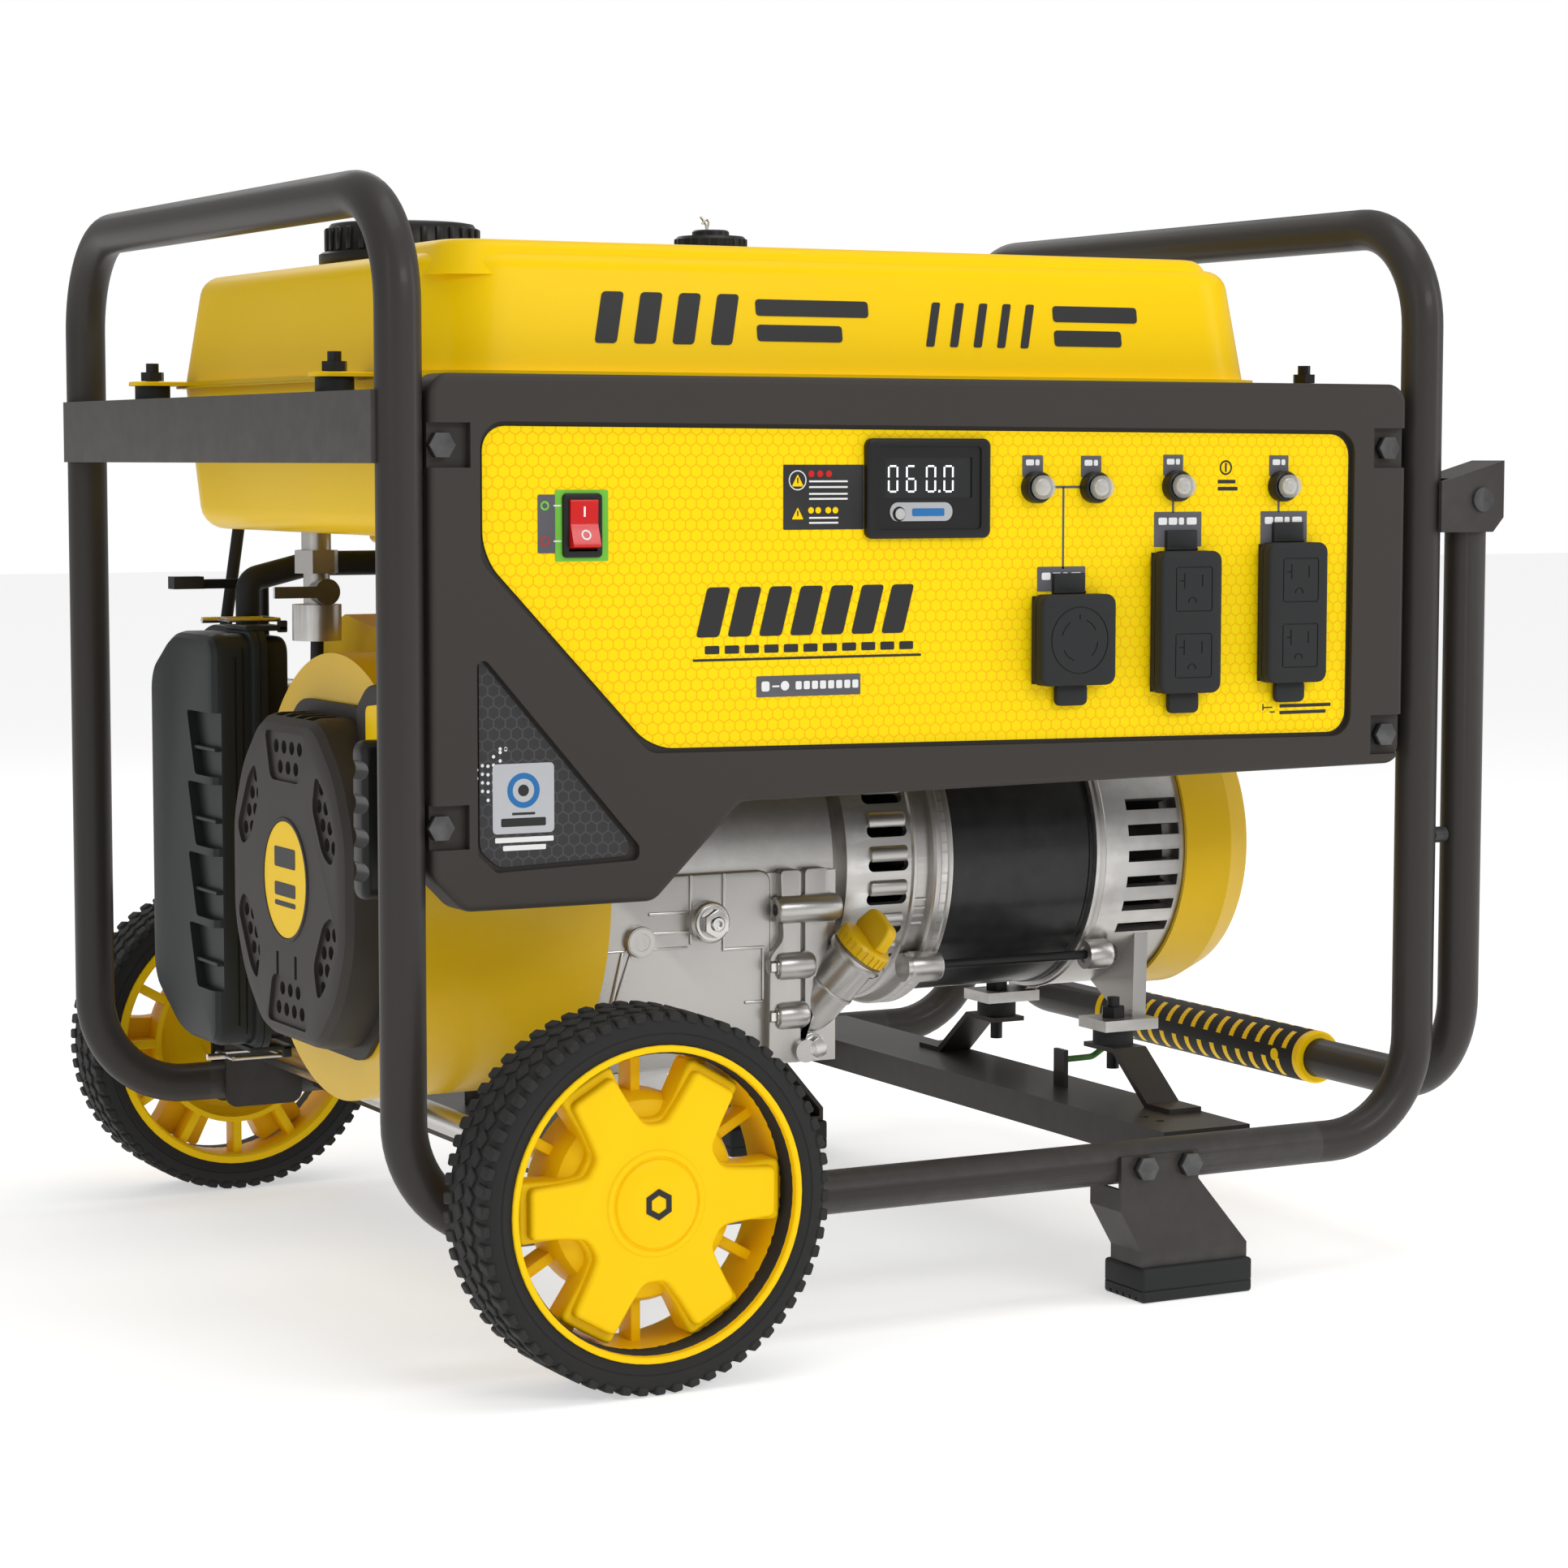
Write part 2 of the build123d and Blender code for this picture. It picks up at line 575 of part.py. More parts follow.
# ---- engine
def on_cylinder(shape):
    # from cylinder axes (local +Y runs up the bore) to the machine's axes
    return Pos(cylinder_x, shaft_y, shaft_z) * Rot(cylinder_tilt, 0, 0) * shape


def crankcase():
    case = rod_x(case_x0, case_x1 - 12, shaft_y, shaft_z, case_r)
    case += block(case_x0, case_x1 - 12, case_front_y, 40, case_low_z, shaft_z)
    case += on_cylinder(Pos(0, 70, 0) * Box(140, 60, 130))
    case += rod_x(case_x1 - 12, case_x1, shaft_y, shaft_z, 80)
    case += block(beam_left_x - 12, beam_left_x + 40, -145, 45, 121, case_low_z)
    case += rod_between(neck_foot, neck_at, 16)
    case += rod_y(-96, case_front_y - 12, case_front_y, 227.5, 9)
    case += rod_y(-140.5, case_front_y - 7, case_front_y, 218, 9)
    case += rod_y(-32, case_front_y - 10, case_front_y, 146, 7)
    case -= rod_x(case_x0 + 10, case_x1 - 20, shaft_y, shaft_z, 80)
    case -= rod_x(case_x0 - 1, case_x1 + 1, shaft_y, shaft_z, shaft_r + running_gap)
    case -= on_cylinder(Pos(0, 80, 0) * Rot(90, 0, 0) * Cylinder(44, 60))
    return case - rod_between(neck_foot, neck_at, 10.6)


def dipstick():
    # screw cap with a raised grip bar, and the stick below it
    start, end = Vector(*neck_foot), Vector(*neck_at)
    along = (end - start).normalized()
    cap = rod_between(end + along * 0.5, end + along * 11, 18)
    cap += rod_between(end - along * 14, end + along * 1, 10.5)
    cap += rod_between(end - along * 50, end - along * 14, 2.5)
    bar_plane = Plane(origin=end + along * 10, z_dir=along, x_dir=(0, along.Z, -along.Y))
    return cap + extrude(bar_plane * RectangleRounded(32, 9, 4), 17)


def cylinder_head():
    barrel = Pos(0, 142, 0) * Box(112, 84, 112)
    for step in range(8):
        barrel += Pos(0, 105 + step * 10, 0) * Box(150, 3, 140)
    head = Pos(0, 205, 0) * Box(150, 42, 124)
    rocker_box = Pos(0, 244, 0) * Box(116, 36, 100)
    rocker_box = fillet(rocker_box.edges().filter_by(Axis.Y), 14)
    bore = Pos(0, 140, 0) * Rot(90, 0, 0) * Cylinder(44, 80)
    return on_cylinder(barrel + head + rocker_box - bore)


def blower_housing():
    x0, x1, wall = blower_x0, blower_x1, 2.5
    duct = [(-50, 390), (60, 405), (100, 392), (100, 300), (40, 254)]
    shell = rod_x(x0, x1, shaft_y, shaft_z, blower_r) + prism_x(duct, -240, x1)
    inner = [(-50, 387), (60, 402), (97, 390), (97, 303), (40, 260)]
    shell -= rod_x(x0 + wall, x1 - wall, shaft_y, shaft_z, blower_r - wall)
    shell -= prism_x(inner, -237.5, x1 - wall)
    shell -= rod_x(x0 - 1, x0 + wall + 1, shaft_y, shaft_z, 90)
    shell -= rod_x(x1 - wall - 1, x1 + 1, shaft_y, shaft_z, 70)
    shell += block(-309, x0, starter_y - 9, starter_y + 13, starter_z - 14, starter_z + 14)
    return shell - rod_x(-310, x0 + wall + 1, starter_y, starter_z, 5.2)


def recoil_cover():
    face, x1 = recoil_face_x, blower_x0
    dish = turned_x([(face, 0), (face, 74), (face + 8, 88), (face + 20, recoil_r), (x1 - 2.5, recoil_r),
                     (x1 - 2.5, recoil_r + 7), (x1, recoil_r + 7), (x1, recoil_r - 3),
                     (face + 21, recoil_r - 3), (face + 10, 85.5), (face + 2.5, 72.5), (face + 2.5, 0)])
    holes = Part()
    for turn in range(8):
        for row, spread in ((58, (-12, 0, 12)), (68, (-6, 6))):
            for offset in spread:
                angle = math.radians(turn * 45 + offset)
                y, z = shaft_y + row * math.cos(angle), shaft_z + row * math.sin(angle)
                holes += rod_x(face - 1, face + 4, y, z, 3.0)
    return dish - holes


def starter_grip():
    bar = block(-327, -311, starter_y - 10, starter_y + 10, starter_z - 45, starter_z + 45)
    bar = fillet(bar.edges().filter_by(Axis.X), 6)
    return bar + rod_x(-311, -292, starter_y, starter_z, 4.9)


def crankshaft():
    return rod_x(-300, 249.5, shaft_y, shaft_z, shaft_r)


def flywheel_fan():
    wheel = rod_x(-262, -214, shaft_y, shaft_z, 96) + rod_x(-300, -262, shaft_y, shaft_z, 40)
    for turn in range(16):
        blade = block(-262, -232, shaft_y - 1.5, shaft_y + 1.5, shaft_z + 90, shaft_z + 118)
        wheel += blade.rotate(Axis((0, shaft_y, shaft_z), (1, 0, 0)), turn * 22.5)
    return wheel - rod_x(-301, -213, shaft_y, shaft_z, shaft_r)


# ---- alternator
def adapter_bell():
    bell = turned_x([(case_x1, 0), (case_x1, 93), (64, 93), (64, 98), (bell_x1, 98), (bell_x1, 88),
                     (12, 88), (12, 0)])
    bell -= rod_x(case_x1 - 1, 14, shaft_y, shaft_z, shaft_r + running_gap)
    for step in range(9):
        slot = block(20, 48, shaft_y - 4, shaft_y + 4, shaft_z + 80, shaft_z + 100)
        slot = fillet(slot.edges().filter_by(Axis.Z), 3.9)
        bell -= slot.rotate(Axis((0, shaft_y, shaft_z), (1, 0, 0)), 38 + step * 13)
    for angle in (40, 140, 220, 320):
        y = shaft_y + 103 * math.cos(math.radians(angle))
        z = shaft_z + 103 * math.sin(math.radians(angle))
        bell += rod_x(52, bell_x1, y, z, 9) - turned_x([(40, 0), (40, 92), (90, 92), (90, 0)])
        bell -= rod_x(66, bell_x1 + 1, y, z, 3.0)
    return bell


def stator():
    return turned_x([(bell_x1, rotor_r + 0.5), (bell_x1, stator_r), (stator_x1, stator_r),
                     (stator_x1, rotor_r + 0.5)])


def rotor():
    return turned_x([(82, shaft_r), (82, rotor_r), (180, rotor_r), (180, shaft_r)])


def rear_bell():
    bell = turned_x([(stator_x1, 88), (stator_x1, rear_r), (rear_x1, rear_r), (rear_x1, 0), (243, 0),
                     (243, 88)])
    bell -= rod_x(242, rear_x1 + 1, shaft_y, shaft_z, shaft_r + running_gap)
    for step in range(6):
        slot = block(208, 246, shaft_y - 3.6, shaft_y + 3.6, shaft_z + 80, shaft_z + 100)
        bell -= slot.rotate(Axis((0, shaft_y, shaft_z), (1, 0, 0)), 72 + step * 10)
    for angle in (40, 140, 220, 320):
        y = shaft_y + 103 * math.cos(math.radians(angle))
        z = shaft_z + 103 * math.sin(math.radians(angle))
        bell += rod_x(stator_x1 + 2, 202, y, z, 9) - turned_x([(150, 0), (150, 94), (240, 94), (240, 0)])
        bell -= rod_x(150, 203, y, z, 3.0)
    for side in (-1, 1):
        y = shaft_y + side * alt_mount_y
        pad = block(alt_mount_x - 26, alt_mount_x + 14, y - 16, y + 16, 138, 145)
        pad -= rod_z(alt_mount_x - 10, y, 137, 146, 4.0)
        web = prism_x([(y - side * 14, 145), (y - side * 14 + side * 18, 145), (shaft_y + side * 78, 210),
                       (shaft_y + side * 20, 166)], alt_mount_x + 2, alt_mount_x + 12)
        bell += pad + web - turned_x([(150, 0), (150, 94), (rear_x1, 94), (rear_x1, 0)])
    return bell


def end_cover():
    outer, x1 = end_cover_r, cover_x1
    arc_mid = (x1 - 24 * (1 - math.sin(math.pi / 4)), outer - 24 * (1 - math.cos(math.pi / 4)))
    return turned_x([(rear_x1, outer), (x1 - 24, outer), arc_mid, (x1, outer - 24), (x1, 0), (x1 - 2.5, 0),
                     (x1 - 2.5, outer - 26), (arc_mid[0] - 2, arc_mid[1] - 2), (x1 - 26, outer - 2.5),
                     (rear_x1, outer - 2.5)])


# ---- exhaust and intake
def muffler():
    can = block(12, 198, 75, 215, 335, 433)
    can = fillet(can.edges().filter_by(Axis.X), 24)
    can -= offset_inside(14, 196, 77, 213, 337, 431)
    return can + rod_x(-20, 12, 136, 340 + 20, 14)


def offset_inside(x0, x1, y0, y1, z0, z1):
    core = block(x0, x1, y0, y1, z0, z1)
    return fillet(core.edges().filter_by(Axis.X), 22)


def muffler_guard():
    guard = block(4, 206, 150, 228, 327, 443) - block(6, 204, 149, 226, 329, 441)
    for row in range(7):
        for column in range(5):
            x, z = 22 + column * 36, 342 + row * 14
            guard -= block(x, x + 26, 220, 230, z, z + 5)
    for x in (40, 170):
        guard += rod_y(x, 215, 227, 384, 6)
    return guard


def carburettor():
    body = rod_x(filter_x2, cylinder_x - 75, carb_y, carb_z, 20)
    body += rod_z(-222, carb_y, 288, 322, 19)
    body += block(-256, -240, carb_y + 14, choke_y + 8, 350, 360) + block(-252, -244, carb_y, carb_y + 16, 340, 360)
    return body - rod_x(filter_x2 - 1, cylinder_x - 74, carb_y, carb_z, 14)


def choke_lever():
    lever = rod_z(choke_x, choke_y, 360.4, 424, 3.0)
    lever += block(-309, choke_x, choke_y - 3, choke_y + 3, 418, 424)
    return lever + block(-311, -291, choke_y - 6, choke_y + 6, 418, 426)


def filter_outline(grow=0.0):
    g = grow
    return [(filter_y0 - g, 132 - g), (filter_y0 - g, 392 + g), (178 + g, 392 + g), (filter_y1 + g, 366 + g),
            (filter_y1 + g, 162 - g), (168 + g, 132 - g)]


def air_filter_cover():
    cover = prism_x(filter_outline(), filter_x0, filter_x1, 10)
    cover = chamfer(cover.edges().filter_by_position(Axis.X, filter_x0 - 0.1, filter_x0 + 0.1), 6)
    cover += prism_x(filter_outline(4), filter_x1 - 6, filter_x1, 12)
    return cover - prism_x(filter_outline(-3), filter_x0 + 3, filter_x1 + 1, 8)


def air_filter_base():
    base = prism_x(filter_outline(4), filter_x1, filter_x1 + 5, 12) + prism_x(filter_outline(-2), filter_x1, filter_x2, 9)
    base -= prism_x(filter_outline(-5), filter_x1 - 1, filter_x2 - 3, 7)
    return base - rod_x(filter_x2 - 4, filter_x2 + 1, carb_y, carb_z, 14)


def filter_clip(level, side):
    # wire bail: hinge rod, two arms and a thumb loop; side is +1 above, -1 below
    z = level + side * 4.5
    r = 1.3
    wire = rod_y(-266, clip_y - 14, clip_y + 14, z, r)
    for y in (clip_y - 14, clip_y + 14):
        wire += rod_x(-300, -266, y, z, r)
    wire += rod_y(-300, clip_y - 14 - r, clip_y + 14 + r, z, r)
    return wire + rod_x(-312, -300, clip_y, z, 2.0)


def fuel_valve():
    valve = rod_z(tap_x, tap_y, 440, tank_low_z, 9)
    valve += Pos(tap_x, tap_y, 439) * extrude(RegularPolygon(14, 6), 7, both=True)
    valve += rod_z(tap_x, tap_y, 408, 434, 8) + rod_z(tap_x, tap_y, 391, 413, 15)
    return valve + rod_y(tap_x, tap_y - lever_stand_off + 0.3, tap_y + 4, tap_z, 7.5)


def fuel_valve_lever():
    y = tap_y - lever_stand_off
    lever = rod_y(tap_x, y - 3, y, tap_z, 8)
    return lever + block(tap_x - 34, tap_x, y - 3, y, tap_z - 3.5, tap_z + 3.5)


# ---- write every piece
def pieces():
    parts = {"hoop_left": end_hoop(-1), "hoop_right": end_hoop(1), "bottom_rails": bottom_rails(),
             "side_bands": side_bands(), "cross_beams": cross_beams(), "support_legs": support_legs(),
             "leg_feet": leg_feet(), "rubber_mounts": rubber_mounts(), "fasteners": fasteners(),
             "axle": axle(), "handle_tube": handle_tube(), "handle_grip": handle_grip(),
             "tank_lower": tank_lower(), "tank_upper": tank_upper(), "tank_ears": tank_ears(), "fuel_cap": fuel_cap(),
             "vent_valve": vent_valve(), "hoses": hoses(), "ground_wires": ground_wires(),
             "panel_housing": panel_housing(), "panel_fascias": panel_fascias(),
             "switch_bezel": switch_bezel(), "power_rocker": power_rocker(),
             "display_module": display_module(), "display_button": display_button(),
             "breaker_bodies": breaker_bodies(), "outlet_sockets": outlet_sockets(),
             "crankcase": crankcase(), "dipstick": dipstick(), "cylinder_head": cylinder_head(),
             "blower_housing": blower_housing(), "recoil_cover": recoil_cover(),
             "starter_grip": starter_grip(), "crankshaft": crankshaft(), "flywheel_fan": flywheel_fan(),
             "adapter_bell": adapter_bell(), "stator": stator(), "rotor": rotor(),
             "rear_bell": rear_bell(), "end_cover": end_cover(),
             "muffler": muffler() + muffler_guard(), "carburettor": carburettor(),
             "choke_lever": choke_lever(), "air_filter_cover": air_filter_cover(),
             "air_filter_base": air_filter_base(), "filter_clip_top": filter_clip(396, 1),
             "filter_clip_bottom": filter_clip(128, -1), "fuel_valve": fuel_valve(),
             "fuel_valve_lever": fuel_valve_lever()}
    rim, tyre = wheel_rim(), wheel_tyre()
    parts.update({"rim_front": rim, "tyre_front": tyre, "rim_rear": mirror(rim, Plane.XZ),
                  "tyre_rear": mirror(tyre, Plane.XZ)})
    for number, (x, z) in enumerate(breaker_at, 1):
        parts[f"breaker_button_{number}"] = breaker_button(x, z)
    for name, x, z, width, height in outlet_at:
        parts[f"cover_{name}"] = outlet_cover(x, z, width, height)
    return parts


os.makedirs("parts", exist_ok=True)
for node, shape in pieces().items():
    export_step(Pos(origin_shift_x, 0, 0) * shape, f"parts/{node}.step")
print("origin shift along X", round(origin_shift_x, 3))
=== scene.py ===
import math
import bmesh
import bpy
from mathutils import Matrix, Vector


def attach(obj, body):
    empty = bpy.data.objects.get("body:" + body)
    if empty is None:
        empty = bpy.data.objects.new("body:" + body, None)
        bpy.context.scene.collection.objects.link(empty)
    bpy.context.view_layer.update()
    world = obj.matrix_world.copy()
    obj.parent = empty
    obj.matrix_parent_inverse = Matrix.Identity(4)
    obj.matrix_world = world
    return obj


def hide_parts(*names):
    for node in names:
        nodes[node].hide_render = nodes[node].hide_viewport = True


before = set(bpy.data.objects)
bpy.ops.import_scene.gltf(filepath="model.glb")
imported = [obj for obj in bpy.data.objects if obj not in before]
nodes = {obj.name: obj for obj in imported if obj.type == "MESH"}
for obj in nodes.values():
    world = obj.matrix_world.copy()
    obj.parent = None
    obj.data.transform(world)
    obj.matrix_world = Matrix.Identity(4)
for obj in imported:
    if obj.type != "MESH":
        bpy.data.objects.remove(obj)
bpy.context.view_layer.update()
mm = 0.001
print("frame loaded:", len(nodes), "pieces")


# camera, lights and floor
def at(x, y, z):
    return Vector((x * mm, y * mm, z * mm))


cameraSetup = {"place": at(-1121.25, -2141.9, 501.1), "aim": Vector((0.46818, 0.87946, -0.08560)),
               "lens": 86.68, "roll": 0.05}


def placeCamera(setup):
    data = bpy.data.cameras.new("camera")
    data.lens = setup["lens"]
    data.sensor_width = 36
    data.clip_end = 60
    camera = bpy.data.objects.new("camera", data)
    camera.location = setup["place"]
    turn = setup["aim"].to_track_quat("-Z", "Y").to_matrix()
    turn = turn @ Matrix.Rotation(math.radians(setup["roll"]), 3, "Z")
    camera.rotation_euler = turn.to_euler()
    bpy.context.collection.objects.link(camera)
    bpy.context.scene.camera = camera


# name: (place, aim, width, height, power)
studioLights = {
    "overhead": ((0.2, -0.5, 3.0), (0, 0, 0.3), 2.2, 1.4, 20),
    "leftBox": ((-3.2, -1.8, 1.7), (0, 0, 0.3), 0.8, 2.2, 9),
    "frontBox": ((0.8, -4.0, 2.4), (0, 0, 0.3), 2.4, 0.8, 44),
    "rightBox": ((3.0, -1.6, 1.4), (0, 0, 0.3), 0.7, 2.0, 16),
    "backBox": ((0.6, 3.2, 2.2), (0, 0, 0.4), 2.2, 1.0, 10),
}


def placeLights(lights):
    for name, (place, aim, width, height, power) in lights.items():
        data = bpy.data.lights.new(name, "AREA")
        data.shape = "RECTANGLE"
        data.size, data.size_y, data.energy = width, height, power
        light = bpy.data.objects.new(name, data)
        light.location = place
        light.rotation_euler = (Vector(aim) - Vector(place)).to_track_quat("-Z", "Y").to_euler()
        bpy.context.collection.objects.link(light)


roomSetup = {"floorReach": 14, "paper": (0.80, 0.80, 0.80, 1), "paperGlow": 0.50, "fill": 0.50}


def makeRoom(setup):
    scene = bpy.context.scene
    scene.view_settings.view_transform = "Standard"
    world = bpy.data.worlds.new("studio")
    world.use_nodes = True
    tree = world.node_tree
    # the backdrop is pure white to the camera, and a softer fill to everything else
    backdrop = tree.nodes["Background"]
    backdrop.inputs["Color"].default_value = (1, 1, 1, 1)
    fill = tree.nodes.new("ShaderNodeBackground")
    fill.inputs["Color"].default_value = (1, 1, 1, 1)
    fill.inputs["Strength"].default_value = setup["fill"]
    seen = tree.nodes.new("ShaderNodeLightPath")
    choose = tree.nodes.new("ShaderNodeMixShader")
    tree.links.new(seen.outputs["Is Camera Ray"], choose.inputs[0])
    tree.links.new(fill.outputs[0], choose.inputs[1])
    tree.links.new(backdrop.outputs[0], choose.inputs[2])
    tree.links.new(choose.outputs[0], tree.nodes["World Output"].inputs["Surface"])
    scene.world = world
    bm = bmesh.new()
    bmesh.ops.create_grid(bm, x_segments=1, y_segments=1, size=setup["floorReach"])
    mesh = bpy.data.meshes.new("floor")
    bm.to_mesh(mesh)
    bm.free()
    floor = bpy.data.objects.new("floor", mesh)
    bpy.context.collection.objects.link(floor)
    paper = bpy.data.materials.new("floorPaper")
    paper.use_nodes = True
    shader = paper.node_tree.nodes["Principled BSDF"]
    shader.inputs["Base Color"].default_value = setup["paper"]
    shader.inputs["Roughness"].default_value = 0.9
    shader.inputs["Emission Color"].default_value = (1, 1, 1, 1)
    shader.inputs["Emission Strength"].default_value = setup["paperGlow"]
    mesh.materials.append(paper)


placeCamera(cameraSetup)
placeLights(studioLights)
makeRoom(roomSetup)
print("camera, lights and floor placed")


# materials
def newGroup(name, inputs, outputs):
    group = bpy.data.node_groups.new(name, "ShaderNodeTree")
    for label, value in inputs.items():
        socket = group.interface.new_socket(name=label, in_out="INPUT", socket_type="NodeSocketFloat")
        socket.default_value = value
    for label in outputs:
        group.interface.new_socket(name=label, in_out="OUTPUT", socket_type="NodeSocketFloat")
    return group, group.nodes.new("NodeGroupInput"), group.nodes.new("NodeGroupOutput")


def addMath(tree, operation, first, second=None, third=None):
    node = tree.nodes.new("ShaderNodeMath")
    node.operation = operation
    for socket, value in zip(node.inputs, (first, second, third)):
        if value is None:
            continue
        if isinstance(value, (int, float)):
            socket.default_value = value
        else:
            tree.links.new(value, socket)
    return node.outputs[0]


def makeGrainGroup():
    group, source, result = newGroup("surfaceGrain", {"Scale": 900.0, "Patch": 6.0}, ["Height", "Patches"])
    place = group.nodes.new("ShaderNodeTexCoord").outputs["Object"]
    fine = group.nodes.new("ShaderNodeTexNoise")
    fine.inputs["Detail"].default_value = 3
    broad = group.nodes.new("ShaderNodeTexNoise")
    broad.inputs["Detail"].default_value = 4
    for noise, label in ((fine, "Scale"), (broad, "Patch")):
        group.links.new(place, noise.inputs["Vector"])
        group.links.new(source.outputs[label], noise.inputs["Scale"])
    group.links.new(fine.outputs["Fac"], result.inputs["Height"])
    group.links.new(broad.outputs["Fac"], result.inputs["Patches"])
    return group


def makeEdgeHighlightGroup():
    # painted highlight: sharp edges lightened towards a brighter colour, broken up by noise
    group, source, result = newGroup("paintedEdgeHighlight", {"Reach": 0.55, "Breakup": 60.0}, ["Mask"])
    point = group.nodes.new("ShaderNodeNewGeometry").outputs["Pointiness"]
    noise = group.nodes.new("ShaderNodeTexNoise")
    noise.inputs["Detail"].default_value = 6
    group.links.new(group.nodes.new("ShaderNodeTexCoord").outputs["Object"], noise.inputs["Vector"])
    group.links.new(source.outputs["Breakup"], noise.inputs["Scale"])
    lifted = addMath(group, "SUBTRACT", point, source.outputs["Reach"])
    raised = addMath(group, "MULTIPLY", lifted, 9.0)
    broken = addMath(group, "MULTIPLY", raised, noise.outputs["Fac"])
    clamp = group.nodes.new("ShaderNodeClamp")
    group.links.new(broken, clamp.inputs["Value"])
    group.links.new(clamp.outputs[0], result.inputs["Mask"])
    return group


def makeDustGroup():
    # light dust on what faces up
    group, source, result = newGroup("settledDust", {"Amount": 0.15, "Patch": 14.0}, ["Mask"])
    split = group.nodes.new("ShaderNodeSeparateXYZ")
    group.links.new(group.nodes.new("ShaderNodeNewGeometry").outputs["Normal"], split.inputs[0])
    noise = group.nodes.new("ShaderNodeTexNoise")
    noise.inputs["Detail"].default_value = 8
    group.links.new(group.nodes.new("ShaderNodeTexCoord").outputs["Object"], noise.inputs["Vector"])
    group.links.new(source.outputs["Patch"], noise.inputs["Scale"])
    upward = addMath(group, "MAXIMUM", addMath(group, "SUBTRACT", split.outputs["Z"], 0.3), 0.0)
    patchy = addMath(group, "MULTIPLY", upward, noise.outputs["Fac"])
    group.links.new(addMath(group, "MULTIPLY", patchy, source.outputs["Amount"]), result.inputs["Mask"])
    return group


def makeHexGroup():
    # honeycomb lines in the plane of the panel, cells given in metres
    group, source, result = newGroup("honeycomb", {"Cell": 0.0065, "Line": 0.08}, ["Mask"])
    split = group.nodes.new("ShaderNodeSeparateXYZ")
    group.links.new(group.nodes.new("ShaderNodeTexCoord").outputs["Object"], split.inputs[0])
    across = addMath(group, "DIVIDE", split.outputs["X"], source.outputs["Cell"])
    up = addMath(group, "DIVIDE", split.outputs["Z"], source.outputs["Cell"])
    root = math.sqrt(3)
    nearest = []
    for shift in (0.0, 0.5):
        cellX = addMath(group, "SUBTRACT", addMath(group, "WRAP", addMath(group, "ADD", across, shift),
                                                   1.0, 0.0), 0.5)
        stepUp = addMath(group, "ADD", up, shift * root)
        cellZ = addMath(group, "SUBTRACT", addMath(group, "WRAP", stepUp, root, 0.0), root / 2)
        farX = addMath(group, "ABSOLUTE", cellX)
        farZ = addMath(group, "ABSOLUTE", cellZ)
        slant = addMath(group, "ADD", addMath(group, "MULTIPLY", farX, 0.5),
                        addMath(group, "MULTIPLY", farZ, root / 2))
        nearest.append(addMath(group, "MAXIMUM", farX, slant))
    reach = addMath(group, "MINIMUM", nearest[0], nearest[1])
    edge = addMath(group, "SUBTRACT", 0.5, source.outputs["Line"])
    line = group.nodes.new("ShaderNodeMapRange")
    group.links.new(reach, line.inputs["Value"])
    group.links.new(addMath(group, "SUBTRACT", edge, 0.03), line.inputs["From Min"])
    group.links.new(edge, line.inputs["From Max"])
    group.links.new(line.outputs[0], result.inputs["Mask"])
    return group


effects = {"grain": makeGrainGroup(), "edgeHighlight": makeEdgeHighlightGroup(), "dust": makeDustGroup(),
           "hex": makeHexGroup()}


def placeGroup(tree, key, values):
    node = tree.nodes.new("ShaderNodeGroup")
    node.node_tree = effects[key]
    for label, value in values.items():
        node.inputs[label].default_value = value
    return node


def mixColour(tree, factor, first, second):
    node = tree.nodes.new("ShaderNodeMix")
    node.data_type = "RGBA"
    for socket, value in ((node.inputs["Factor"], factor), (node.inputs["A"], first),
                          (node.inputs["B"], second)):
        if isinstance(value, tuple):
            socket.default_value = (*value, 1)
        elif isinstance(value, (int, float)):
            socket.default_value = value
        else:
            tree.links.new(value, socket)
    return node.outputs["Result"]
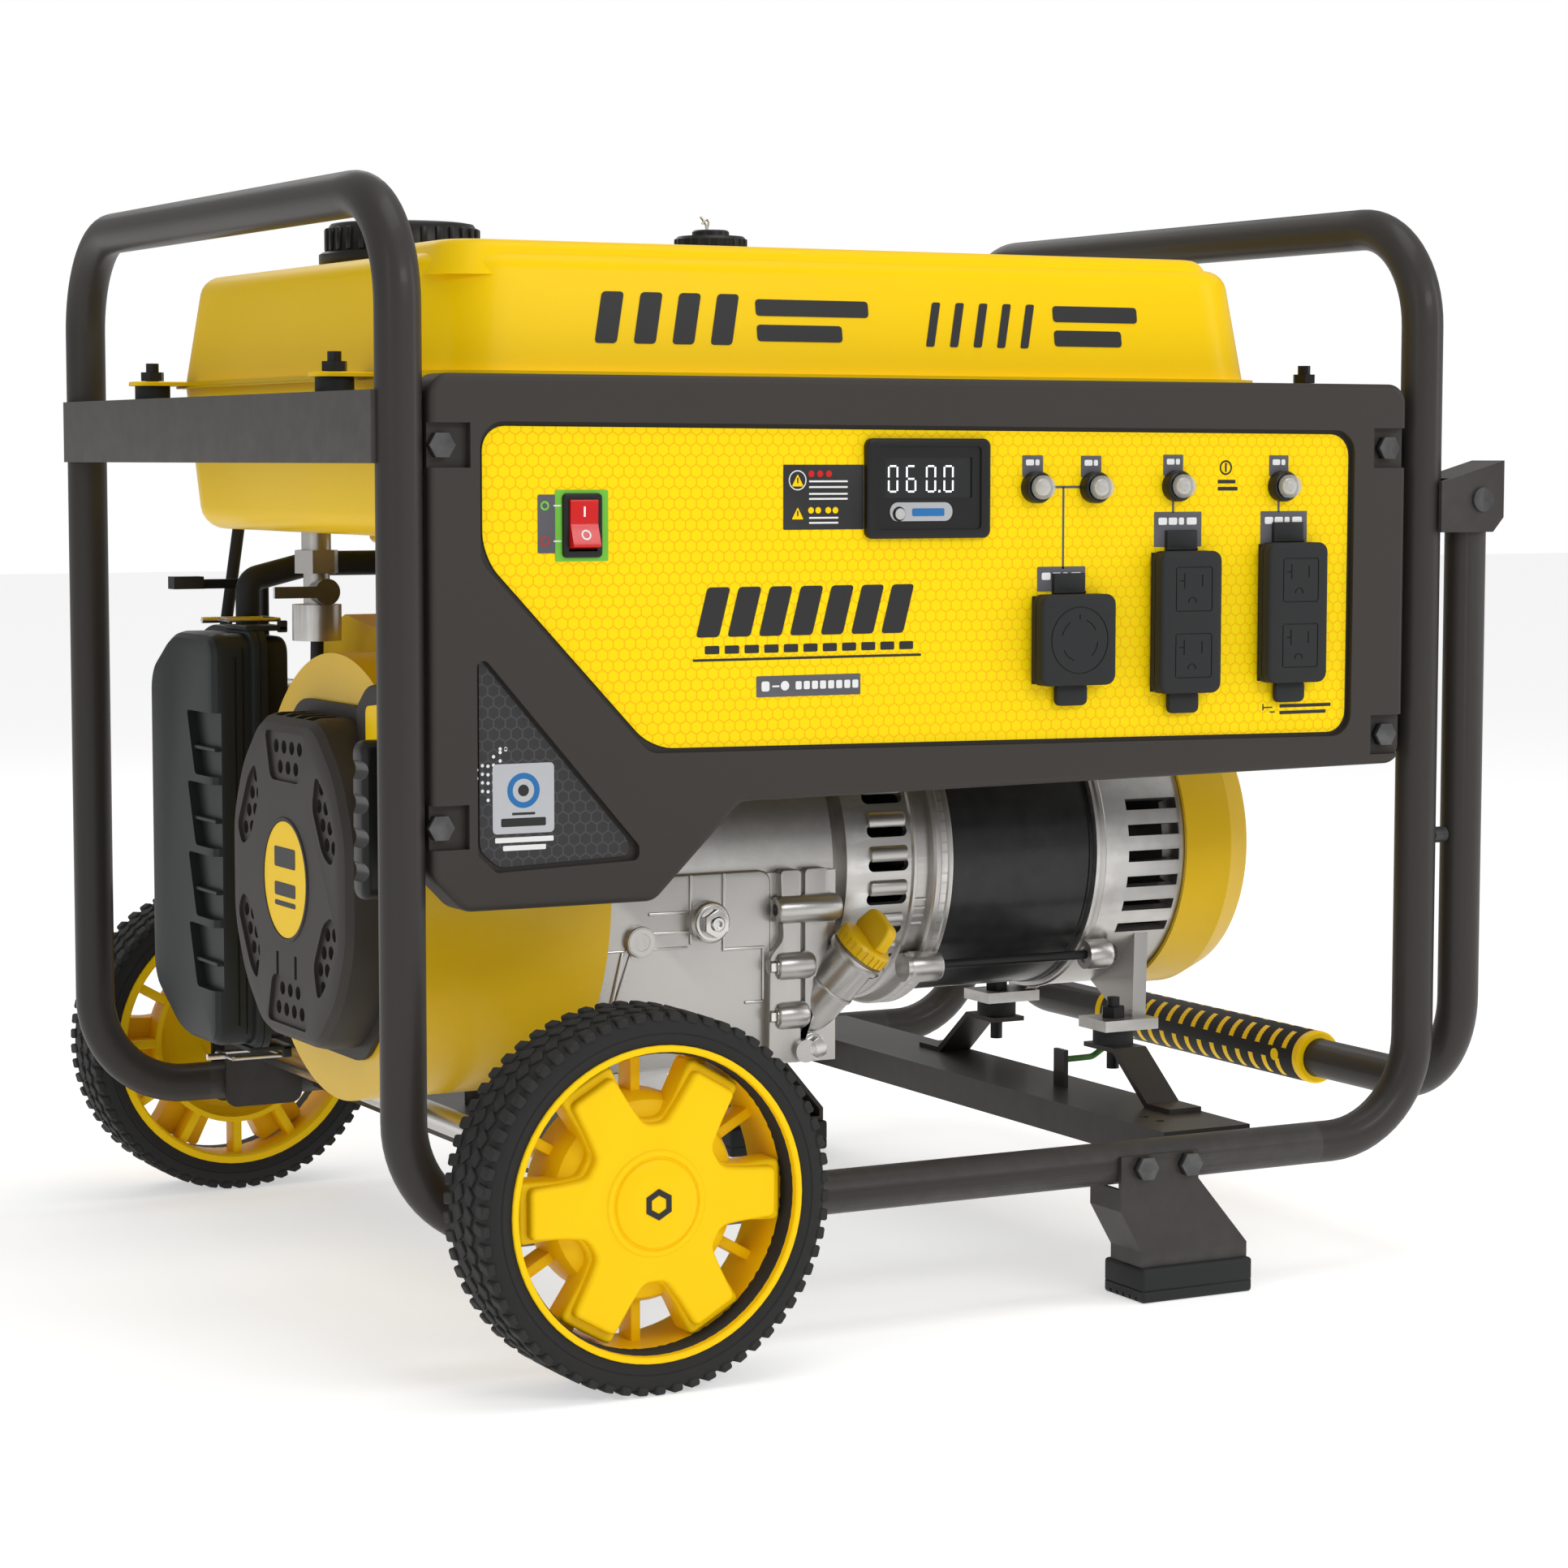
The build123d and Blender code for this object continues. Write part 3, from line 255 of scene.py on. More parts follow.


# colour, roughness, metal, coat and shine; grain scale, and bump, the grain's height in mm;
# the edge colour, a painted highlight that lightens sharp edges, and reach, how sharp an edge has to be;
# dust on what faces up
dustColour = (0.33, 0.31, 0.28)
finishes = {
    "framePaint": dict(colour=(0.033, 0.029, 0.026), rough=0.44, coat=0.08, grain=1500, bump=0.05,
                       edgeHighlight=(0.09, 0.085, 0.08), reach=0.58, dust=0.03),
    "panelPlastic": dict(colour=(0.038, 0.033, 0.029), rough=0.50, grain=1300, bump=0.06,
                         edgeHighlight=(0.07, 0.065, 0.06), reach=0.6, dust=0.03),
    "tankEnamel": dict(colour=(1.0, 0.65, 0.002), rough=0.32, shine=0.10, grain=260, bump=0.02,
                       edgeHighlight=(1.0, 0.70, 0.03), reach=0.62, dust=0.01),
    "shroudEnamel": dict(colour=(0.78, 0.49, 0.006), rough=0.34, coat=0.08, grain=700, bump=0.05,
                         edgeHighlight=(0.85, 0.58, 0.04), reach=0.6, dust=0.03),
    "wheelPlastic": dict(colour=(1.0, 0.64, 0.003), rough=0.36, shine=0.12, grain=900, bump=0.02,
                         edgeHighlight=(1.0, 0.68, 0.04), reach=0.62, dust=0.03),
    "tyreRubber": dict(colour=(0.020, 0.020, 0.020), rough=0.72, grain=1200, bump=0.12,
                       edgeHighlight=(0.05, 0.048, 0.046), reach=0.58, dust=0.10),
    "blackRubber": dict(colour=(0.018, 0.019, 0.020), rough=0.58, grain=1500, bump=0.06,
                        edgeHighlight=(0.045, 0.045, 0.045), reach=0.6, dust=0.05),
    "castAluminium": dict(colour=(0.50, 0.485, 0.465), rough=0.32, metal=0.92, grain=650, bump=0.16,
                          edgeHighlight=(0.85, 0.84, 0.82), reach=0.54, dust=0.08),
    "machinedSteel": dict(colour=(0.62, 0.61, 0.59), rough=0.24, metal=1.0, grain=2200, bump=0.03,
                          edgeHighlight=(0.85, 0.85, 0.84), reach=0.55, dust=0.04),
    "blackSteel": dict(colour=(0.012, 0.012, 0.013), rough=0.34, coat=0.05, grain=1500, bump=0.03,
                       edgeHighlight=(0.16, 0.16, 0.16), reach=0.55, dust=0.08),
    "statorBlack": dict(colour=(0.008, 0.008, 0.0085), rough=0.30, coat=0.15, grain=1100, bump=0.04,
                        edgeHighlight=(0.05, 0.05, 0.05), reach=0.58, dust=0.04),
    "filterPlastic": dict(colour=(0.017, 0.020, 0.020), rough=0.42, grain=1300, bump=0.05,
                          edgeHighlight=(0.06, 0.065, 0.065), reach=0.6, dust=0.03),
    "blackPlastic": dict(colour=(0.012, 0.012, 0.012), rough=0.34, grain=1500, bump=0.03,
                         edgeHighlight=(0.05, 0.05, 0.05), reach=0.58, dust=0.06),
    "rockerRed": dict(colour=(0.62, 0.008, 0.008), rough=0.24, coat=0.3, grain=900, bump=0.01,
                      edgeHighlight=(0.75, 0.1, 0.1), reach=0.62, dust=0.02),
    "greenTrim": dict(colour=(0.16, 0.52, 0.05), rough=0.4, grain=900, bump=0.01,
                      edgeHighlight=(0.3, 0.6, 0.2), reach=0.62, dust=0.02),
    "wireGreen": dict(colour=(0.05, 0.20, 0.03), rough=0.42, grain=1500, bump=0.03,
                      edgeHighlight=(0.2, 0.3, 0.1), reach=0.6, dust=0.1),
    "mufflerSteel": dict(colour=(0.04, 0.038, 0.036), rough=0.55, metal=0.4, grain=500, bump=0.12,
                         edgeHighlight=(0.2, 0.18, 0.16), reach=0.55, dust=0.2),
    "darkPrint": dict(colour=(0.025, 0.024, 0.024), rough=0.42, grain=800, bump=0.01,
                      edgeHighlight=(0.05, 0.05, 0.05), reach=0.62, dust=0.02),
    "greyPrint": dict(colour=(0.10, 0.10, 0.115), rough=0.40, grain=800, bump=0.01,
                      edgeHighlight=(0.14, 0.14, 0.15), reach=0.62, dust=0.02),
    "whitePrint": dict(colour=(0.82, 0.82, 0.82), rough=0.42, grain=800, bump=0.01,
                       edgeHighlight=(0.85, 0.85, 0.85), reach=0.62, dust=0.02),
    "silverLabel": dict(colour=(0.52, 0.53, 0.55), rough=0.32, metal=0.75, grain=900, bump=0.01,
                        edgeHighlight=(0.7, 0.7, 0.7), reach=0.62, dust=0.02),
}
materials = {}


def makeFinish(name, look):
    material = bpy.data.materials.new(name)
    material.use_nodes = True
    tree = material.node_tree
    shader = tree.nodes["Principled BSDF"]
    grain = placeGroup(tree, "grain", {"Scale": look["grain"], "Patch": 7.0})
    edgeHighlight = placeGroup(tree, "edgeHighlight", {"Reach": look["reach"], "Breakup": 90.0})
    dust = placeGroup(tree, "dust", {"Amount": look["dust"], "Patch": 16.0})
    deep = tuple(channel * 0.90 for channel in look["colour"])
    colour = mixColour(tree, grain.outputs["Patches"], deep, look["colour"])
    # painted highlight: sharp edges mixed towards a lighter colour
    colour = mixColour(tree, edgeHighlight.outputs["Mask"], colour, look["edgeHighlight"])
    colour = mixColour(tree, dust.outputs["Mask"], colour, dustColour)
    tree.links.new(colour, shader.inputs["Base Color"])
    rough = addMath(tree, "MULTIPLY_ADD", grain.outputs["Patches"], 0.12, look["rough"] - 0.05)
    rough = addMath(tree, "ADD", rough, dust.outputs["Mask"])
    tree.links.new(rough, shader.inputs["Roughness"])
    shader.inputs["Metallic"].default_value = look.get("metal", 0.0)
    shader.inputs["Specular IOR Level"].default_value = look.get("shine", 0.26)
    shader.inputs["Coat Weight"].default_value = look.get("coat", 0.0)
    shader.inputs["Coat Roughness"].default_value = 0.12
    bump = tree.nodes.new("ShaderNodeBump")
    bump.inputs["Strength"].default_value = 0.35
    bump.inputs["Distance"].default_value = look["bump"] * mm
    tree.links.new(grain.outputs["Height"], bump.inputs["Height"])
    tree.links.new(bump.outputs["Normal"], shader.inputs["Normal"])
    materials[name] = material
    return tree, shader, colour


def makeHoneycomb(name, look, line, cell, width):
    tree, shader, colour = makeFinish(name, look)
    pattern = placeGroup(tree, "hex", {"Cell": cell, "Line": width})
    tree.links.new(mixColour(tree, pattern.outputs["Mask"], colour, line), shader.inputs["Base Color"])


for finishName, finishLook in finishes.items():
    makeFinish(finishName, finishLook)
makeHoneycomb("fasciaYellow", dict(colour=(1.0, 0.73, 0.003), rough=0.36, shine=0.10, grain=900, bump=0.01,
                                   edgeHighlight=(1.0, 0.7, 0.05), reach=0.62, dust=0.03), (0.90, 0.50, 0.004),
              0.0068, 0.045)
makeHoneycomb("fasciaDark", dict(colour=(0.030, 0.030, 0.032), rough=0.36, coat=0.1, grain=900, bump=0.01,
                                 edgeHighlight=(0.06, 0.06, 0.06), reach=0.62, dust=0.03), (0.055, 0.055, 0.058),
              0.0068, 0.045)


def makeGlow():
    # lit bars of the meter
    material = bpy.data.materials.new("litSegment")
    material.use_nodes = True
    tree = material.node_tree
    shader = tree.nodes["Principled BSDF"]
    grain = placeGroup(tree, "grain", {"Scale": 900.0, "Patch": 40.0})
    tree.links.new(mixColour(tree, grain.outputs["Patches"], (0.75, 0.8, 0.85), (0.95, 0.97, 1.0)),
                   shader.inputs["Emission Color"])
    shader.inputs["Base Color"].default_value = (0.8, 0.85, 0.9, 1)
    shader.inputs["Emission Strength"].default_value = 0.8
    materials["litSegment"] = material


def makeLens():
    # smoked window of the meter
    makeFinish("smokedLens", dict(
        colour=(0.010, 0.011, 0.012), rough=0.10, coat=0.6, grain=200, bump=0.005,
        edgeHighlight=(0.03, 0.03, 0.03), reach=0.65, dust=0.01))


def makeDome():
    # clear soft boot over a breaker button
    tree, shader, colour = makeFinish("clearDome", dict(
        colour=(0.80, 0.80, 0.78), rough=0.12, grain=300, bump=0.01, edgeHighlight=(0.9, 0.9, 0.9), reach=0.65,
                                                                  dust=0.01))
    shader.inputs["Alpha"].default_value = 0.28


makeGlow()
makeLens()
makeDome()
makeFinish("blueLabel", dict(colour=(0.02, 0.16, 0.42), rough=0.36, grain=900, bump=0.01,
                             edgeHighlight=(0.1, 0.3, 0.6), reach=0.62, dust=0.02))
print("materials made:", len(materials))

# finish of each carried-over piece
nodeFinish = {
    "framePaint": ["hoop_left", "hoop_right", "bottom_rails", "side_bands", "cross_beams", "support_legs",
                   "handle_tube"],
    "blackRubber": ["leg_feet", "rubber_mounts", "hoses", "outlet_sockets", "cover_twist_lock",
                    "cover_duplex_inner",
                    "cover_duplex_outer", "handle_grip"],
    "blackSteel": ["fasteners"],
    "machinedSteel": ["axle", "filter_clip_top", "filter_clip_bottom", "fuel_valve_lever", "crankshaft",
                      "breaker_button_1", "breaker_button_2", "breaker_button_3", "breaker_button_4",
                      "display_button"],
    "tyreRubber": ["tyre_front", "tyre_rear"],
    "wheelPlastic": ["rim_front", "rim_rear"],
    "tankEnamel": ["tank_lower", "tank_upper", "tank_ears"],
    "shroudEnamel": ["blower_housing", "end_cover", "dipstick"],
    "blackPlastic": ["fuel_cap", "vent_valve", "starter_grip", "choke_lever", "switch_bezel",
                     "display_module", "breaker_bodies"],
    "panelPlastic": ["panel_housing", "recoil_cover"],
    "fasciaYellow": ["panel_fascias"],
    "rockerRed": ["power_rocker"],
    "castAluminium": ["crankcase", "cylinder_head", "adapter_bell", "rear_bell", "carburettor",
                      "fuel_valve", "flywheel_fan"],
    "statorBlack": ["stator", "rotor"],
    "mufflerSteel": ["muffler"],
    "filterPlastic": ["air_filter_cover", "air_filter_base"],
    "wireGreen": ["ground_wires"],
}
for finishName, nodeNames in nodeFinish.items():
    for nodeName in nodeNames:
        nodes[nodeName].data.materials.clear()
        nodes[nodeName].data.materials.append(materials[finishName])

# shape helpers: sizes in millimetres about the middle of the frame
shiftX = -18.55  # the frame's middle, along X, in the shared frame
axes = {"x": Vector((1, 0, 0)), "y": Vector((0, 1, 0)), "z": Vector((0, 0, 1))}


def slab(x0, x1, y0, y1, z0, z1, soft=0.0, steps=2):
    shape = bmesh.new()
    middle = Vector((x0 + x1, y0 + y1, z0 + z1)) / 2
    place = Matrix.Translation(middle) @ Matrix.Diagonal((x1 - x0, y1 - y0, z1 - z0, 1))
    bmesh.ops.create_cube(shape, size=1, matrix=place)
    if soft:
        bmesh.ops.bevel(shape, geom=shape.edges[:], offset=soft, segments=steps, profile=0.5,
                        affect="EDGES", material=-1, clamp_overlap=True)
    return shape


def rectangle(a0, a1, b0, b1):
    return [(a0, b0), (a1, b0), (a1, b1), (a0, b1)]


def around(x, z, wide, high):
    # the same, about its middle
    return rectangle(x - wide / 2, x + wide / 2, z - high / 2, z + high / 2)


def prism(outline, low, high, axis="y", corner=0.0, steps=5):
    # an outline drawn square to the axis, its corners rounded, pushed out from low to high
    shape = bmesh.new()
    spot = {"x": lambda a, b: (low, a, b), "y": lambda a, b: (a, low, b), "z": lambda a,
            b: (a, b, low)}[axis]
    shape.faces.new([shape.verts.new(spot(a, b)) for a, b in outline])
    if corner:
        bmesh.ops.bevel(shape, geom=shape.verts[:], offset=corner, segments=steps, profile=0.5,
                        affect="VERTICES", material=-1, clamp_overlap=True)
    pushed = bmesh.ops.extrude_face_region(shape, geom=shape.faces[:])["geom"]
    moving = [item for item in pushed if isinstance(item, bmesh.types.BMVert)]
    bmesh.ops.translate(shape, verts=moving, vec=axes[axis] * (high - low))
    bmesh.ops.recalc_face_normals(shape, faces=shape.faces)
    return shape


def softenEnd(shape, facing, soft, steps=3):
    # round over the flat end that faces this way
    shape.normal_update()
    ends = [face for face in shape.faces if face.normal.dot(Vector(facing)) > 0.999 and len(face.verts) > 3]
    biggest = max(ends, key=lambda face: face.calc_area())
    bmesh.ops.bevel(shape, geom=list(biggest.edges), offset=soft, segments=steps, profile=0.5,
                    affect="EDGES", material=-1, clamp_overlap=True)
    return shape


def rod(start, end, radius, far=None, soft=0.0, sides=32, steps=2):
    start, end = Vector(start), Vector(end)
    shape = bmesh.new()
    place = Matrix.Translation((start + end) / 2) @ (end - start).to_track_quat("Z",
                                                                                "Y").to_matrix().to_4x4()
    bmesh.ops.create_cone(shape, cap_ends=True, segments=sides, radius1=radius,
                          radius2=radius if far is None else far, depth=(end - start).length, matrix=place)
    if soft:
        rims = {edge for face in shape.faces if len(face.verts) > 4 for edge in face.edges}
        bmesh.ops.bevel(shape, geom=list(rims), offset=soft, segments=steps, profile=0.5,
                        affect="EDGES", material=-1, clamp_overlap=True)
    return shape


def lathe(profile, centre, axis="x", steps=72, turn=360, start=0):
    # pairs of distance out and place along the axis, spun into a closed ring
    shape = bmesh.new()
    along = axes[axis]
    side = {"x": axes["z"], "y": axes["z"], "z": axes["x"]}[axis]
    side = Matrix.Rotation(math.radians(start), 3, along) @ side
    verts = [shape.verts.new(Vector(centre) + side * out + along * step) for out, step in profile]
    if turn == 360:
        swept = verts + [shape.edges.new(pair) for pair in zip(verts, verts[1:] + verts[:1])]
    else:
        swept = verts + [shape.faces.new(verts)] + shape.edges[:]
    bmesh.ops.spin(shape, geom=swept, cent=centre, axis=along, dvec=(0, 0, 0), steps=steps,
                   angle=math.radians(turn), use_merge=turn == 360, use_duplicate=False)
    bmesh.ops.remove_doubles(shape, verts=shape.verts, dist=0.0005)
    bmesh.ops.recalc_face_normals(shape, faces=shape.faces)
    return shape


def hexHead(centre, axis, across, height, facing=-1, soft=0.8):
    # hexagon with chamfered crown on a round flange
    along = axes[axis] * facing
    centre = Vector(centre)
    head = rod(centre, centre + along * height, across / math.sqrt(3), sides=6, soft=soft)
    flange = rod(centre, centre + along * height * 0.22, across * 0.72, sides=32, soft=0.4)
    return gather(head, flange)


def gather(*parts):
    # several shapes as one; (shape, number) also says which finish it takes
    whole = bmesh.new()
    for part in parts:
        shape, paint = part if isinstance(part, tuple) else (part, None)
        if paint is not None:
            for face in shape.faces:
                face.material_index = paint
        loan = bpy.data.meshes.new("loan")
        shape.to_mesh(loan)
        shape.free()
        whole.from_mesh(loan)
        bpy.data.meshes.remove(loan)
    return whole


def moved(shape, step):
    bmesh.ops.translate(shape, verts=shape.verts, vec=step)
    return shape


def turned(shape, centre, axis, degrees):
    bmesh.ops.rotate(shape, verts=shape.verts, cent=centre,
                     matrix=Matrix.Rotation(math.radians(degrees), 3, axes[axis]))
    return shape


def ringOf(shape, count, axis):
    # copies evenly round the axis
    copies = [turned(shape.copy(), (0, 0, 0), axis, 360 * step / count) for step in range(count)]
    shape.free()
    return gather(*copies)


def carve(shape, cutter):
    # cut one shape out of another
    loans = []
    for source in (shape, cutter):
        bmesh.ops.recalc_face_normals(source, faces=source.faces)
        mesh = bpy.data.meshes.new("loan")
        source.to_mesh(mesh)
        source.free()
        loans.append(bpy.data.objects.new("loan", mesh))
        bpy.context.collection.objects.link(loans[-1])
    trim = loans[0].modifiers.new("trim", "BOOLEAN")
    trim.object, trim.operation, trim.solver, trim.use_self = loans[1], "DIFFERENCE", "EXACT", True
    result = bmesh.new()
    result.from_object(loans[0], bpy.context.evaluated_depsgraph_get())
    for loan in loans:
        mesh = loan.data
        bpy.data.objects.remove(loan)
        bpy.data.meshes.remove(mesh)
    return result


def tubeAlong(points, radius, name, finish, body):
    # a round tube on one smooth curve
    curve = bpy.data.curves.new(name + "Line", "CURVE")
    curve.dimensions = "3D"
    line = curve.splines.new("NURBS")
    line.points.add(len(points) - 1)
    for spot, (x, y, z) in zip(line.points, points):
        spot.co = ((x + shiftX) * mm, y * mm, z * mm, 1)
    line.order_u = 4
    line.use_endpoint_u = True
    curve.resolution_u = 10
    curve.bevel_depth = radius * mm
    curve.bevel_resolution = 4
    curve.use_fill_caps = True
    curve.materials.append(materials[finish])
    tube = bpy.data.objects.new(name, curve)
    bpy.context.collection.objects.link(tube)
    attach(tube, body)


def keepPiece(name, shape, body, finish, replaced=(), sharp=34, mirrored=False):
    # into the shared frame, smooth shaded, riding on its body
    if mirrored:
        bmesh.ops.scale(shape, verts=shape.verts, vec=(1, -1, 1))
    bmesh.ops.remove_doubles(shape, verts=shape.verts, dist=0.0005)
    bmesh.ops.recalc_face_normals(shape, faces=shape.faces)
    place = Matrix.Scale(mm, 4) @ Matrix.Translation((shiftX, 0, 0))
    bmesh.ops.transform(shape, matrix=place, verts=shape.verts)
    mesh = bpy.data.meshes.new(name)
    shape.to_mesh(mesh)
    shape.free()
    mesh.shade_smooth()
    mesh.set_sharp_from_angle(angle=math.radians(sharp))
    wanted = [finish] if isinstance(finish, str) else finish
    for label in wanted:
        mesh.materials.append(materials[label])
    piece = bpy.data.objects.new(name, mesh)
    bpy.context.collection.objects.link(piece)
    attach(piece, body)
    if replaced:
        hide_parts(*replaced)


# wheels
# rings are pairs of radius and depth; star plates give reach, half angle of a spoke's tip, neck, valley,
# front, back and softness
wheelSizes = {
    "x": -225.4, "z": 104.1, "middleY": -327.2, "lugs": 62,
    "tyre": [(81, -21.5), (83.5, -24.5), (87.5, -25.6), (91.6, -26.3), (92.3, -25.8), (93.0, -26.3),
             (98.2, -25.7),
             (100.9, -23.9), (102.0, -20), (102.3, 0), (102.0, 20), (100.9, 23.9), (98.2, 25.7),
             (93.0, 26.3),
             (92.3, 25.8), (91.6, 26.3), (87.5, 25.6), (83.5, 24.5), (81, 21.5)],
    "barrel": [(86.1, -24.4), (86.1, -26.3), (85.6, -26.9), (83.2, -26.9), (82.5, -26.2), (80.6, -6),
               (79.2, 20),
               (80.0, 25.0), (81.4, 26.6), (85.8, 26.6), (86.1, 24.4), (83.0, 21.0), (82.2, 0),
               (83.0, -21.0)],
    "drum": [(20, -9), (49, -9), (54, -6.5), (57, -1), (58, 8), (58, 21), (54.5, 21), (54.5, 9), (50, 3),
             (20, 3)],
    "cap": [(0, -24.9), (13, -24.8), (20, -24.2), (23.6, -22.9), (24.6, -21.2), (24.6, -14), (0, -14)],
    "well": [(25.0, -21.6), (25.9, -22.6), (28.4, -22.6), (29.6, -21.4), (29.6, -14), (25.0, -14)],
    "face": (74.5, 10.8, 55, 43.5, -21.6, -6, 3.0), "shoulder": (80.0, 12.4, 58, 45.5, -15.5, 2, 2.6),
    "webs": 12, "badge": (8.6, 5.0),
}


def makeWheel(sizes, body, rim, tyre, mirrored):
    centre = Vector((sizes["x"], sizes["middleY"], sizes["z"]))
    carcass = lathe(sizes["tyre"], centre, "y", steps=96)
    lugs = []
    step = 360 / sizes["lugs"]
    for index in range(sizes["lugs"]):
        for side in (-1, 1):
            reach = 8.5 if (index + (side > 0)) % 2 else 11.5
            low, high = sorted((side * 26.0, side * (26.0 - reach)))
            lug = slab(-3.3, 3.3, low, high, 98.6, 103.6, soft=0.9, steps=1)
            turned(lug, (0, side * 20, 100), "z", side * 9)
            lugs.append(turned(lug, (0, 0, 0), "y", index * step))
            inner = slab(-3.7, 3.7, side * 6.8 - 4.6, side * 6.8 + 4.6, 100.6, 103.7, soft=0.6, steps=1)
            turned(inner, (0, side * 6.8, 100), "z", side * 32)
            lugs.append(turned(inner, (0, 0, 0), "y", (index + 0.5) * step))
    tread = moved(gather(*lugs), centre)
    keepPiece(tyre + "Detail", gather(carcass, tread), body, "tyreRubber", [tyre], mirrored=mirrored,
              sharp=40)

    def star(reach, tip, neck, valley, low, high, soft):
        outline = []
        for spoke in range(6):
            middle = spoke * 60
            for radius, swing in ((valley, -22), (neck, -15.6), (reach, -tip), (reach, tip), (neck, 15.6),
                                  (valley, 22)):
                angle = math.radians(middle + swing)
                outline.append((centre.x + radius * math.cos(angle), centre.z + radius * math.sin(angle)))
        plate = prism(outline, centre.y + low, centre.y + high, "y", corner=3.4, steps=3)
        return softenEnd(plate, (0, -1, 0), soft, 4)

    webs = ringOf(slab(-3, 3, 4, 20, 54, 80.4, soft=1.0), sizes["webs"], "y")
    rings = [lathe(sizes[key], centre, "y", steps=72) for key in ("barrel", "drum", "cap", "well")]
    mark, hole = [[(reach * math.cos(math.radians(turn)), reach * math.sin(math.radians(turn)))
                   for turn in range(30, 390, 60)] for reach in sizes["badge"]]
    badge = carve(prism(mark, -25.2, -24.4, "y"), prism(hole, -26, -24, "y"))
    plates = [star(*sizes[key]) for key in ("face", "shoulder")]
    shape = gather((gather(*plates, moved(webs, centre), *rings), 0), (moved(badge, centre), 1))
    keepPiece(rim + "Detail", shape, body, ["wheelPlastic", "darkPrint"], [rim], mirrored=mirrored,
              sharp=30)


makeWheel(wheelSizes, "wheel_front", "rim_front", "tyre_front", False)
makeWheel(wheelSizes, "wheel_rear", "rim_rear", "tyre_rear", True)
print("wheels made")

# tank
tankSizes = {
    "outline": rectangle(-306, 246, -240, 200), "corner": 45, "seam": 548.5, "deck": 616.0,
    "leanUp": 9.5, "leanDown": 8.0, "floor": 457.0,
    "hump": [(-296, -231), (224, -231), (224, 184), (-140, 184), (-140, -40), (-205, -96), (-296, -116)],
             "crown": 622.0,
    "sump": rectangle(-232, 60, -190, 60), "sumpFloor": 449.5,
    "flange": rectangle(-312, 252, -246, 206), "ears": (300, 343.5), "earY": 157,
}


def leaned(shape, outline, level, lean):
    # draw the far end in, as a pressed tank's sides lean
    xs, ys = [x for x, y in outline], [y for x, y in outline]
    middle = Vector(((min(xs) + max(xs)) / 2, (min(ys) + max(ys)) / 2, level))
    ends = [vert for vert in shape.verts if abs(vert.co.z - level) < 0.1]
    shrink = (1 - 2 * lean / (max(xs) - min(xs)), 1 - 2 * lean / (max(ys) - min(ys)), 1)
    bmesh.ops.scale(shape, verts=ends, vec=shrink, space=Matrix.Translation(-middle))
    return shape


def makeTank(sizes):
    upper = prism(sizes["outline"], sizes["seam"], sizes["deck"], "z", sizes["corner"], 9)
    softenEnd(leaned(upper, sizes["outline"], sizes["deck"], sizes["leanUp"]), (0, 0, 1), 11, 5)
    hump = prism(sizes["hump"], sizes["deck"] - 14, sizes["crown"], "z", 26, 6)
    softenEnd(leaned(hump, sizes["hump"], sizes["crown"], 9), (0, 0, 1), 5, 4)
    flange = prism(sizes["flange"], sizes["seam"] - 1.6, sizes["seam"] + 1.0, "z", 50, 9)
    root, tip = sizes["ears"]
    ears = []
    for side in (-1, 1):
        for y in (-sizes["earY"], sizes["earY"]):
            outline = [(side * root, y - 16), (side * tip, y - 13), (side * tip, y + 13),
                       (side * root, y + 16)]
            ear = prism(outline, sizes["seam"] - 1.6, sizes["seam"] + 1.0, "z", 8, 4)
            ears.append(softenEnd(ear, (0, 0, 1), 0.6, 1))
    keepPiece("tankUpperShell", gather(upper, hump, flange, *ears), "chassis", "tankEnamel",
              ["tank_upper", "tank_ears"], sharp=26)
    lower = prism(sizes["outline"], sizes["seam"] - 1, sizes["floor"], "z", sizes["corner"], 9)
    softenEnd(leaned(lower, sizes["outline"], sizes["floor"], sizes["leanDown"]), (0, 0, -1), 14, 5)
    sump = softenEnd(prism(sizes["sump"], sizes["floor"] + 4, sizes["sumpFloor"], "z", 26, 6), (0, 0, -1),
                     5, 4)
    lip = prism(sizes["flange"], sizes["seam"] - 3.0, sizes["seam"] - 1.7, "z", 50, 9)
    keepPiece("tankLowerShell", gather(lower, sump, lip), "chassis", "tankEnamel", ["tank_lower"], sharp=26)


makeTank(tankSizes)

# tank decoration: plain blocks and bars
decoration = {"face": (-240.3, 548.5), "lean": -7.9, "low": 565.5, "high": 594.5,
              "bold": [-208, -184, -160, -136], "light": [4, 20, 36, 52, 68],
              "bars": [(-106, -33), (-106, -51), (92, 151), (92, 139)]}


def makeDecoration(sizes):
    y, pivotZ = sizes["face"]
    low, high = sizes["low"], sizes["high"]
    shapes = []
    for x in sizes["bold"]:
        lean = [(x, low), (x + 13.5, low), (x + 20.0, high), (x + 6.5, high)]
        shapes.append(prism(lean, y, y + 0.8, "y", 2.2, 3))
    for x in sizes["light"]:
        lean = [(x, low + 1), (x + 5.5, low + 1), (x + 11.5, high - 2), (x + 6, high - 2)]
        shapes.append(prism(lean, y, y + 0.8, "y", 1.2, 3))
    for index, (x0, x1) in enumerate(sizes["bars"]):
        z = 582.5 if index % 2 == 0 else 568.0
        shapes.append(prism(rectangle(x0, x1, z, z + 9.5), y, y + 0.8, "y", 2, 2))
    shape = gather(*shapes)
    turned(shape, (0, -240.0, pivotZ), "x", sizes["lean"])
    keepPiece("tankDecoration", shape, "chassis", "darkPrint")


makeDecoration(decoration)
print("tank made")

